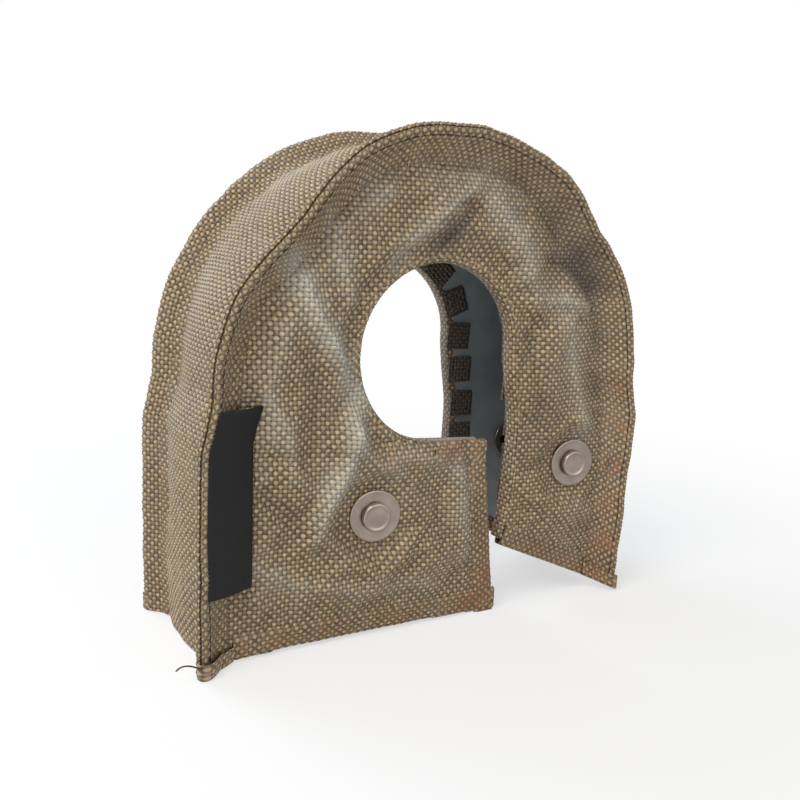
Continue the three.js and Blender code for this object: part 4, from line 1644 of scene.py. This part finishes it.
    def build_hems(self, tree: BVHTree) -> list[bpy.types.Object]:
        """The doubled hems of the foot and the short leg."""
        wide = self.hem_width
        section = np.array(
            [[wide + 0.6, -0.5], [wide, 0.25], [wide - 0.7, 0.5], [wide / 2, 0.55], [1.4, 0.5],
             [0.4, 0.0], [0.0, -1.0], [0.2, -2.2], [1.2, -3.0], [wide, -3.0]]
        )
        left = -OUTLINE.leg_x(np.float64(0.0), OUTLINE.left_flare, OUTLINE.left_floor_flare)
        corner, hole_bottom = self.form.course.at(np.array(self.lip_travel())).inner
        lines = {
            "foot_bottom_hem": (
                np.array([[left + self.hem_start, 0.0], [OUTLINE.foot_corner_x, 0.0]]), (0.0, 1.0)),
            "foot_side_hem": (np.array([[OUTLINE.foot_corner_x, 0.0], corner]), (-1.0, -0.1)),
            "foot_top_hem": (np.array([corner, hole_bottom]), (0.0, -1.0)),
        }
        leg_end = self.form.course.at(np.array([self.form.course.length]))
        outer, inner = leg_end.outer[0], leg_end.inner[0]
        run = (inner - outer) / np.linalg.norm(inner - outer)
        lines["leg_bottom_hem"] = (np.array([outer + run * 9.0, inner]), (0.4, 1.0))
        sheets = []
        for layer, (name, (line, into)) in enumerate(lines.items()):
            path = resample(line, CELL)
            run = np.gradient(path, axis=0)
            run /= np.linalg.norm(run, axis=1)[:, None]
            normal = np.stack([run[:, 1], -run[:, 0]], -1)
            normal *= np.sign((normal * np.array(into)).sum(1))[:, None]
            raised = section + np.array([0.0, 0.22 * (layer % 3)])
            sheets.append(self.edge_strip(f"{self.name}_{name}", tree, path, normal, raised))
        return sheets


# The band between the two faces
@dataclass
class BandCloth:
    """The woven band with its lobes of both ridges."""

    name: str = "band_cloth_woven"
    recess: float = 6.4
    rise: float = 2.4
    valley_width: float = 12.0

    def build(self, finishes: Finishes) -> bpy.types.Object:
        """Makes and dresses the band.

        Args:
            finishes: the materials.

        Returns:
            The finished band.
        """
        lobe = RIDGE.section(-1.0)
        offset, depth = RIDGE.point(lobe[:, 0], lobe[:, 1])
        inside = OUTLINE.half_depth - self.valley_width
        shares = np.linspace(1.0, -1.0, 21)
        middle = self.recess - self.rise * np.cos(shares * math.pi / 2)
        front = np.stack([offset, -depth], -1)
        span = np.stack([middle, -shares * inside], -1)
        back = np.stack([offset, depth], -1)[::-1]
        section = relax(resample(np.concatenate([front, span, back]), CELL), 3)
        on_ridge = smooth(np.abs(section[:, 1]), inside + 1.0, inside + 6.0)
        sheet = TravelSheet(self.name, section, on_ridge, COURSE)

        def shape(stations: Course, offset: np.ndarray, depth: np.ndarray):
            """Adds the band's lumps and the puckers along its seams."""
            travel = stations.travel
            lumps = 0.5 * soft_noise(travel, depth + 60, 24.0, 81)
            lumps = lumps + 0.4 * soft_noise(travel, depth + 60, 8.0, 82)
            near = np.exp(-(((np.abs(depth) - inside) / 6.0) ** 2))
            pucker = 0.55 * soft_noise(travel, depth * 0.2 + 40, 5.0, 83) * near
            hollow = 1.1 * np.exp(-(((depth + inside - 2.0) / 5.0) ** 2))
            hollow = hollow * smooth(travel, 95.0, 130.0) * (1.0 - smooth(travel, 330.0, 380.0))
            flat = 1.0 - smooth(np.abs(depth), inside, inside + 5.0)
            return offset + (lumps * flat + pucker + hollow * flat), depth

        piece = sheet.build(shape)
        middles = centres(piece)
        away = middles - np.array([0.0, 0.0, OUTLINE.arch_centre])
        away[:, 1] = 0.0
        away[:, 2] = np.where(middles[:, 2] < OUTLINE.arch_centre, 0.0, away[:, 2])
        face_outward(piece, away)
        dress(piece, finishes.cloth)
        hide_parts("band_cloth")
        return piece


# Inside: linings, mats and the turned tabs
@dataclass
class Linings:
    """The grey cloth inside, one piece behind each face and one behind the band."""

    level: float = 20.0
    start: float = 8.2
    end: float = 1.6
    band_level: float = 15.2

    def build(self, finishes: Finishes) -> list[bpy.types.Object]:
        """Makes and dresses the linings.

        Args:
            finishes: the materials.

        Returns:
            The three linings.
        """
        pieces = [self.build_face(side) for side in Side] + [self.build_band()]
        nodes = ["front_lining", "back_lining", "band_lining"]
        for piece, node in zip(pieces, nodes):
            dress(piece, finishes.lining)
            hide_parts(node)
        return pieces

    def build_face(self, side: Side) -> bpy.types.Object:
        """One lining behind a face.

        Args:
            side: the face.

        Returns:
            The lining.
        """
        columns, rows = 240, 30
        grid = create_sheet(columns, rows)
        column, row = grid_places(grid, columns, rows)
        hem = OUTLINE.hem_height
        course = COURSES[side]
        stations = course.at(mix(hem, course.length - hem, column / columns))
        _, reach = stations.directions()
        share = 1.0 if side is Side.FRONT else 0.0
        offset = mix(self.start, reach - stations.dip * share - self.end, row / rows)
        place = stations.place(offset, np.float64(share))
        wrinkle = 0.3 * soft_noise(place[:, 0] + 200, place[:, 1] + 200, 14.0, 91 + side.value)
        depth = side.value * (self.level + 0.35 + wrinkle)
        for vertex, (x, z), y in zip(grid.verts, place, depth):
            vertex.co = (x, y, z)
        name = f"{side.name.lower()}_lining_sheet"
        piece = mesh_object(name, grid)
        points = corners(piece)
        paint(piece, points[:, [0, 2]] / YARN_PITCH, np.zeros((len(points), 3)))
        face_outward(piece, np.array([0.0, -side.value, 0.0]))
        return piece

    def build_band(self) -> bpy.types.Object:
        """The lining behind the band."""
        columns, rows = 240, 20
        grid = create_sheet(columns, rows)
        column, row = grid_places(grid, columns, rows)
        hem = OUTLINE.hem_height
        stations = COURSE.at(mix(hem, COURSE.length - hem, column / columns))
        depth = mix(-self.level + 0.6, self.level - 0.6, row / rows)
        wrinkle = 0.4 * soft_noise(stations.travel, depth + 60, 16.0, 95)
        inside = OUTLINE.half_depth - 12.0
        share = np.clip((inside - depth) / (2 * inside), 0.0, 1.0)
        place = stations.place(self.band_level + 0.4 + wrinkle, share)
        for vertex, (x, z), y in zip(grid.verts, place, depth):
            vertex.co = (x, y, z)
        piece = mesh_object("band_lining_sheet", grid)
        yarns = np.stack([stations.travel, depth], -1) / YARN_PITCH
        paint(piece, yarns, np.zeros((len(yarns), 3)))
        middles = centres(piece)
        away = middles - np.array([0.0, 0.0, OUTLINE.arch_centre])
        away[:, 1] = 0.0
        away[:, 2] = np.where(middles[:, 2] < OUTLINE.arch_centre, 0.0, away[:, 2])
        face_outward(piece, -away)
        return piece


@dataclass
class Mats:
    """The fibre mats between cloth and lining."""

    fluff: float = 0.25
    inside: float = 21.1
    packed: float = 0.16

    def build(self, finishes: Finishes) -> list[bpy.types.Object]:
        """Makes the mats from their solids, roughened as felted fibre is.

        Args:
            finishes: the materials.

        Returns:
            The three mats.
        """
        pieces = []
        for node in ("front_insulation", "back_insulation", "band_insulation"):
            mat = bmesh.new()
            mat.from_mesh(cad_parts[node].data)
            bmesh.ops.remove_doubles(mat, verts=mat.verts, dist=0.01 * MM)
            long_edges = [edge for edge in mat.edges if edge.calc_length() > 6.0 * MM]
            bmesh.ops.subdivide_edges(mat, edges=long_edges, cuts=2, use_grid_fill=True)
            bmesh.ops.triangulate(mat, faces=mat.faces)
            bmesh.ops.scale(mat, vec=(1 / MM, 1 / MM, 1 / MM), verts=mat.verts)
            for vertex in mat.verts:
                x, y, z = vertex.co
                felt = soft_noise(np.array([x + 200 + y]), np.array([z + 200 - y]), 3.0, 97)[0]
                if "band" not in node:
                    vertex.co.y = math.copysign(self.inside + (abs(y) - self.inside) * self.packed, y)
                vertex.co -= vertex.normal * (0.05 + self.fluff * abs(felt))
            piece = mesh_object(f"{node}_mat", mat)
            dress(piece, finishes.mat)
            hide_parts(node)
            pieces.append(piece)
        return pieces


@dataclass
class Tabs:
    """Cut tabs of the face cloth, folded round the opening's edge and laid on the lining."""

    length: float = 11.0
    width: float = 11.5
    pitch: float = 15.0
    level: float = 19.4
    root: float = 0.4

    def places(self, side: Side) -> list[tuple[float, float, float]]:
        """Each tab's root as x and z, and its direction in degrees."""
        turn = math.degrees(self.pitch / (OUTLINE.hole_radius + self.length / 2))
        found = []
        angle = 0.0
        last = OUTLINE.hole_left_angle + (2 * turn if side is Side.FRONT else 0.0)
        while angle <= last:
            x, z = OUTLINE.hole_point(np.float64(angle))
            found.append((float(x), float(z), angle))
            angle += turn
        z = OUTLINE.hole_height - self.pitch
        while z > OUTLINE.leg_hem_height + 2 * OUTLINE.hem_height:
            found.append((float(OUTLINE.leg_edge_x(np.float64(z))), z, 0.0))
            z -= self.pitch
        return found

    def build(self, side: Side, finishes: Finishes) -> bpy.types.Object:
        """Makes the tabs of one face.

        Args:
            side: the face.
            finishes: the materials.

        Returns:
            All its tabs as one piece.
        """
        columns, rows = round(self.length / CELL), round(self.width / CELL)
        random = np.random.default_rng(101 + side.value)
        sheets = []
        for number, (x, z, degrees) in enumerate(self.places(side)):
            grid = create_sheet(columns, rows)
            column, row = grid_places(grid, columns, rows)
            angle = math.radians(degrees + random.uniform(-4.0, 4.0))
            out = self.root + column * CELL
            aside = (row - rows / 2) * CELL * (1.0 - 0.06 * column / columns)
            sag = random.uniform(0.2, 0.9) * (column / columns) ** 2
            sag = sag + random.uniform(-0.3, 0.3) * (row / rows - 0.5)
            lift = weave_relief(column, row) * 0.8
            level = side.value * (self.level - 0.3 - sag - lift)
            px = x + out * math.cos(angle) - aside * math.sin(angle)
            pz = z + out * math.sin(angle) + aside * math.cos(angle)
            for vertex, vx, vy, vz in zip(grid.verts, px, level, pz):
                vertex.co = (vx, vy, vz)
            sheet = mesh_object(f"{side.name.lower()}_tab_{number}", grid)
            rust_and_painted_light = np.zeros((len(column), 3))
            # Painted shade: the tabs, which lie in the shaded cavity, are darkened almost fully to the
            # painted shade colour
            rust_and_painted_light[:, 2] = 0.95
            paint(sheet, np.stack([column, row], -1) / CELLS_PER_YARN, rust_and_painted_light)
            face_outward(sheet, np.array([0.0, -side.value, 0.0]))
            sheets.append(sheet)
        piece = join(f"{side.name.lower()}_turned_tabs", sheets)
        thickness = piece.modifiers.new("thickness", "SOLIDIFY")
        thickness.thickness = 0.6 * MM
        thickness.offset = -1.0
        dress(piece, finishes.cloth)
        return piece


# Rivets, label and stitches
def spun(name: str, profile: Sequence[tuple[float, float]], steps: int = 64) -> bmesh.types.BMesh:
    """Turns a profile round the upright axis.

    Args:
        name: not used.
        profile: radius and height of each point.
        steps: sides of the round.

    Returns:
        The turned mesh.
    """
    mesh = bmesh.new()
    points = [mesh.verts.new((radius, 0.0, height)) for radius, height in profile]
    edges = [mesh.edges.new(pair) for pair in zip(points, points[1:])]
    bmesh.ops.spin(
        mesh, geom=points + edges, cent=(0, 0, 0), axis=(0, 0, 1), dvec=(0, 0, 0),
        angle=2 * math.pi, steps=steps, use_merge=True, use_duplicate=False,
    )
    bmesh.ops.remove_doubles(mesh, verts=mesh.verts, dist=0.001)
    bmesh.ops.recalc_face_normals(mesh, faces=mesh.faces)
    return mesh


@dataclass
class Rivet:
    """A button on a wide washer outside, and a small washer with a clinched end inside."""

    place: RivetPlace
    seat_recess: float = 7.4
    cavity_half: float = 20.0
    clearance: float = 0.3
    liner: float = 0.8
    washer_radius: float = 10.1
    washer: float = 1.0
    inner_radius: float = 8.0
    bore: float = 2.3
    button_radius: float = 5.6
    button_height: float = 2.0
    shank_radius: float = 2.0
    clinch_radius: float = 3.2
    clinch_height: float = 1.2

    def build(self, finishes: Finishes) -> list[bpy.types.Object]:
        """Makes and dresses the rivet's three pieces.

        Args:
            finishes: the materials.

        Returns:
            Washer, inner washer and rivet.
        """
        seat = OUTLINE.half_depth - self.seat_recess
        turn = math.radians(self.place.turn)
        grip = (seat - self.cavity_half) / math.cos(turn) + self.inner_radius * math.tan(turn)
        low, high = self.clearance, self.clearance + self.washer
        r, b = self.washer_radius, self.bore
        washer = [(b, low), (r - 0.35, low), (r - 0.05, low + 0.25), (r, low + 0.55),
                  (r - 0.15, high - 0.08), (r - 0.5, high + 0.02), (r - 1.0, high - 0.06),
                  (r - 2.2, high - 0.12),
                  (b + 3.0, high - 0.1), (b, high - 0.1), (b, low)]
        top = -grip - self.clearance
        bottom = top - self.liner
        r = self.inner_radius
        inner = [(b, bottom), (r - 0.3, bottom), (r, bottom + 0.2), (r, top - 0.2), (r - 0.3, top),
                 (b, top), (b, bottom)]
        base = self.washer + 2 * self.clearance
        end = -grip - self.liner - 2 * self.clearance
        tip = end - self.clinch_height
        peak = base + self.button_height
        r, s, c = self.button_radius, self.shank_radius, self.clinch_radius
        button = [(0.0, tip), (1.2, tip), (1.5, tip + 0.35), (2.0, tip + 0.1), (c - 0.4, tip),
                  (c, tip + 0.4), (c, end - 0.2), (c - 0.2, end), (s, end), (s, base - 0.1),
                  (r - 0.3, base - 0.1),
                  (r, base + 0.15), (r, peak - 0.65), (r - 0.18, peak - 0.2), (r - 0.6, peak),
                  (r - 1.1, peak - 0.08), (r - 1.5, peak - 0.3), (r - 2.0, peak - 0.34),
                  (r - 3.5, peak - 0.22), (0.0, peak - 0.18)]
        pieces = []
        for kind, profile in (("washer", washer), ("inner_washer", inner), ("rivet", button)):
            node = f"{self.place.name}_{kind}"
            mesh = spun(node, profile)
            outward = Vector((-math.sin(turn), self.place.side.value * math.cos(turn), 0.0))
            spin = Vector((0.0, 0.0, 1.0)).rotation_difference(outward).to_matrix().to_4x4()
            spot = Vector((self.place.x, self.place.side.value * seat, self.place.z))
            bmesh.ops.transform(mesh, matrix=Matrix.Translation(spot) @ spin, verts=mesh.verts)
            piece = mesh_object(f"{node}_turned", mesh)
            dress(piece, finishes.steel)
            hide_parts(node)
            pieces.append(piece)
        return pieces


@dataclass
class Label:
    """A bare black ribbon label, caught in the left front seam."""

    width: float = 18.0
    bottom: float = 28.0
    top: float = 92.0
    thickness: float = 0.45
    lift: float = 1.3

    def build(self, form: FaceForm, finishes: Finishes) -> bpy.types.Object:
        """Makes and dresses the label.

        Args:
            form: the front face, which it lies over.
            finishes: the materials.

        Returns:
            The label.
        """
        columns, rows = 24, 80
        grid = create_sheet(columns, rows)
        column, row = grid_places(grid, columns, rows)
        across, up = column / columns, row / rows
        z = mix(self.bottom, self.top, up)
        travel = np.interp(z, COURSE.outer[:120, 1], COURSE.travel[:120])
        stations = COURSE.at(travel)
        start, high = RIDGE.point(np.float64(1.6), np.float64(RIDGE.gap / 2 + RIDGE.lobe + 0.35))
        offset = start + across * self.width
        end_level = form.level(stations, np.full(len(z), start + self.width)) + self.lift
        end_level = np.minimum(relax_rows(end_level, up), high)
        bow = 0.7 * np.sin(math.pi * across) * (0.6 + 0.4 * np.cos(2 * math.pi * up))
        curl = 0.35 * np.sin(5.0 * up + 0.6) * across
        level = mix(high, end_level, across**1.2) + bow + curl
        place = stations.place(offset, np.float64(1.0))
        for vertex, (x, _), y, height in zip(grid.verts, place, level, z):
            vertex.co = (x, -y, height)
        piece = mesh_object("label_ribbon", grid)
        yarns = np.stack([offset, z], -1) / YARN_PITCH
        paint(piece, yarns, np.zeros((len(z), 3)))
        face_outward(piece, np.array([0.0, -1.0, 0.0]))
        body = piece.modifiers.new("thickness", "SOLIDIFY")
        body.thickness = self.thickness * MM
        body.offset = -1.0
        dress(piece, finishes.ribbon)
        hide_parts("label")
        return piece


def relax_rows(level: np.ndarray, up: np.ndarray) -> np.ndarray:
    """Takes the small bumps out of a level that varies along a label.

    Args:
        level: levels.
        up: share along the label of each.

    Returns:
        A straight line fitted through them.
    """
    slope, base = np.polyfit(up, level, 1)
    return base + slope * up


@dataclass
class Stitches:
    """A row of lockstitch along each ridge, and a loose end of thread at the foot."""

    length: float = 3.0
    pitch: float = 3.5
    radius: float = 0.3
    tail: tuple[tuple[float, float, float], ...] = (
        (-96.0, -34.4, 5.0), (-98.5, -34.5, 6.6), (-100.5, -33.5, 7.0), (-102.5, -32.0, 6.2),
        (-103.5, -31.0, 4.6),
    )
    tail_pitch: float = 0.6
    tail_length: float = 1.4

    def row(
        self, name: str, points: np.ndarray, pitch: float, length: float, finishes: Finishes
    ) -> bpy.types.Object:
        """One row of stitches along a line.

        Args:
            name: the piece's name.
            points: the line, in millimetres.
            pitch: distance from stitch to stitch.
            length: length of a stitch.
            finishes: the materials.

        Returns:
            The row as one piece.
        """
        even = resample(points, pitch)
        stitches = bmesh.new()
        for start, stop in zip(even, even[1:]):
            run = Vector(stop - start).normalized()
            middle = Vector((start + stop) / 2)
            turn = Vector((0.0, 0.0, 1.0)).rotation_difference(run).to_matrix().to_4x4()
            size = Matrix.Diagonal((self.radius, self.radius, length / 2, 1.0))
            bmesh.ops.create_uvsphere(
                stitches, u_segments=8, v_segments=6, radius=1.0,
                matrix=Matrix.Translation(middle) @ turn @ size,
            )
        piece = mesh_object(name, stitches)
        dress(piece, finishes.thread)
        return piece

    def build(self, finishes: Finishes) -> list[bpy.types.Object]:
        """Makes every row.

        Args:
            finishes: the materials.

        Returns:
            One piece for each row.
        """
        pieces = []
        travel = np.linspace(2.0, COURSE.length - 2.0, 800)
        down, out = ridge_wander(travel)
        for side in Side:
            stations = COURSES[side].at(travel)
            share = 1.0 if side is Side.FRONT else 0.0
            offset, depth = RIDGE.point(down + 2.6, out + RIDGE.gap / 2 + RIDGE.lobe + 0.3)
            place = stations.place(offset, np.float64(share))
            points = np.stack([place[:, 0], side.value * depth, place[:, 1]], -1)
            name = f"{side.name.lower()}_ridge_stitches"
            pieces.append(self.row(name, points, self.pitch, self.length, finishes))
        tail = relax(resample(np.array(self.tail), self.tail_pitch), 3)
        pieces.append(self.row("loose_thread", tail, self.tail_pitch, self.tail_length, finishes))
        return pieces


# The setting: floor, lights and camera
@dataclass(frozen=True)
class Studio:
    """A white floor, soft lamps and the photograph's view."""

    camera_place: tuple[float, float, float] = (-192.37, -308.72, 155.68)
    yaw: float = 31.63
    pitch: float = 11.07
    roll: float = 2.84
    lens: float = 41.44
    sensor: float = 36.0
    floor_size: float = 6.0

    def build(self) -> None:
        """Makes floor, lamps, world and camera."""
        self.build_floor()
        self.build_world()
        self.build_lamps()
        self.build_camera()

    def build_floor(self) -> None:
        """A white floor: it keeps the shadow near the blanket and is plain white farther off."""
        floor_mesh = bmesh.new()
        size = self.floor_size / MM / 2
        bmesh.ops.create_grid(floor_mesh, x_segments=1, y_segments=1, size=size)
        floor = mesh_object("floor", floor_mesh)
        material, tree, shader = new_material("floor_matt_white_paper")
        shader.inputs["Base Color"].default_value = linear("#f4f4f4")
        shader.inputs["Roughness"].default_value = 0.9
        glow = add_node(tree, "ShaderNodeEmission", None, {0: (1, 1, 1, 1), 1: 1.0})
        rays = add_node(tree, "ShaderNodeLightPath")
        place = add_node(tree, "ShaderNodeTexCoord")
        away = add_node(
            tree, "ShaderNodeVectorMath", {"operation": "LENGTH"}, {0: place.outputs["Object"]}
        )
        fade = add_node(
            tree, "ShaderNodeMapRange", {"interpolation_type": "SMOOTHSTEP"},
            {0: away.outputs["Value"], 1: 0.1, 2: 0.45, 3: 0.6, 4: 1.0},
        )
        share = maths(tree, "MULTIPLY", rays.outputs["Is Camera Ray"], fade.outputs[0])
        mixed = add_node(
            tree, "ShaderNodeMixShader", None, {0: share, 1: shader.outputs[0], 2: glow.outputs[0]}
        )
        tree.links.new(mixed.outputs[0], tree.nodes["Material Output"].inputs["Surface"])
        floor.data.materials.append(material)

    def build_world(self) -> None:
        """Soft grey light from all round, seen as white."""
        world = bpy.data.worlds.new("studio")
        bpy.context.scene.world = world
        world.use_nodes = True
        tree = world.node_tree
        soft = tree.nodes["Background"]
        soft.inputs[0].default_value = linear("#eef1f5")
        soft.inputs[1].default_value = 0.42
        white = add_node(tree, "ShaderNodeBackground", None, {0: (1, 1, 1, 1), 1: 1.0})
        rays = add_node(tree, "ShaderNodeLightPath")
        seen = maths(tree, "MAXIMUM", rays.outputs["Is Camera Ray"], rays.outputs["Is Glossy Ray"])
        seen = maths(tree, "MAXIMUM", seen, rays.outputs["Is Transmission Ray"])
        mixed = add_node(
            tree, "ShaderNodeMixShader", None, {0: seen, 1: soft.outputs[0], 2: white.outputs[0]}
        )
        tree.links.new(mixed.outputs[0], tree.nodes["World Output"].inputs["Surface"])

    def build_lamps(self) -> None:
        """A large lamp above and left, a low one in front and a cool one behind."""
        self.add_lamp("key", (-0.75, -0.35, 0.95), 0.6, 9.0, "#fffaf2")
        self.add_lamp("front", (0.1, -1.2, 0.5), 0.9, 2.6, "#ffffff")
        self.add_lamp("rear", (-0.5, 0.9, 0.8), 0.7, 8.0, "#e6f0ff")

    def add_lamp(
        self, name: str, place: tuple[float, float, float], size: float, watts: float, colour: str
    ) -> None:
        """One square lamp, turned to the blanket.

        Args:
            name: its name.
            place: its place, in metres.
            size: its side, in metres.
            watts: its power.
            colour: its colour.
        """
        light = bpy.data.lights.new(name, "AREA")
        light.size = size
        light.energy = watts
        light.color = linear(colour)[:3]
        lamp = bpy.data.objects.new(name, light)
        lamp.location = place
        towards = Vector((0.0, 0.0, 0.09)) - Vector(place)
        lamp.rotation_euler = towards.to_track_quat("-Z", "Y").to_euler()
        bpy.context.scene.collection.objects.link(lamp)

    def build_camera(self) -> None:
        """The camera, at the place and turn of the photograph."""
        camera = bpy.data.cameras.new("camera")
        camera.lens = self.lens
        camera.sensor_width = self.sensor
        camera.clip_start = 0.01
        camera.clip_end = 20.0
        holder = bpy.data.objects.new("camera", camera)
        yaw, pitch, roll = (math.radians(angle) for angle in (self.yaw, self.pitch, self.roll))
        forward = Vector(
            (math.sin(yaw) * math.cos(pitch), math.cos(yaw) * math.cos(pitch), -math.sin(pitch))
        )
        right = Vector((math.cos(yaw), -math.sin(yaw), 0.0))
        up = right.cross(forward)
        tilted_right = right * math.cos(roll) + up * math.sin(roll)
        tilted_up = up * math.cos(roll) - right * math.sin(roll)
        axes = Matrix((tilted_right, tilted_up, -forward)).transposed().to_4x4()
        holder.matrix_world = Matrix.Translation(Vector(self.camera_place) * MM) @ axes
        bpy.context.scene.collection.objects.link(holder)
        bpy.context.scene.camera = holder


def main() -> None:
    """Builds the setting and then each sub-assembly."""
    logging.basicConfig(level=logging.INFO, format="%(message)s")
    bpy.context.scene.view_settings.view_transform = "Standard"
    Studio().build()
    finishes = Finishes.make()
    front = FaceForm(Side.FRONT, FRONT_FOLDS, 11)
    back = FaceForm(Side.BACK, BACK_FOLDS, 17)
    for form in (front, back):
        form.settle()
    pieces = [
        FaceCloth(front, "front_cloth_woven", "front_cloth").build(finishes),
        FaceCloth(back, "back_cloth_woven", "back_cloth").build(finishes),
        BandCloth().build(finishes),
    ]
    pieces += Linings().build(finishes)
    pieces += Mats().build(finishes)
    pieces += [Tabs().build(side, finishes) for side in Side]
    for place in RIVETS:
        pieces += Rivet(place).build(finishes)
    pieces.append(Label().build(front, finishes))
    pieces += Stitches().build(finishes)
    for piece in pieces:
        LOG.info("%s: %d faces", piece.name, len(piece.data.polygons))


if __name__ == "__main__":
    main()
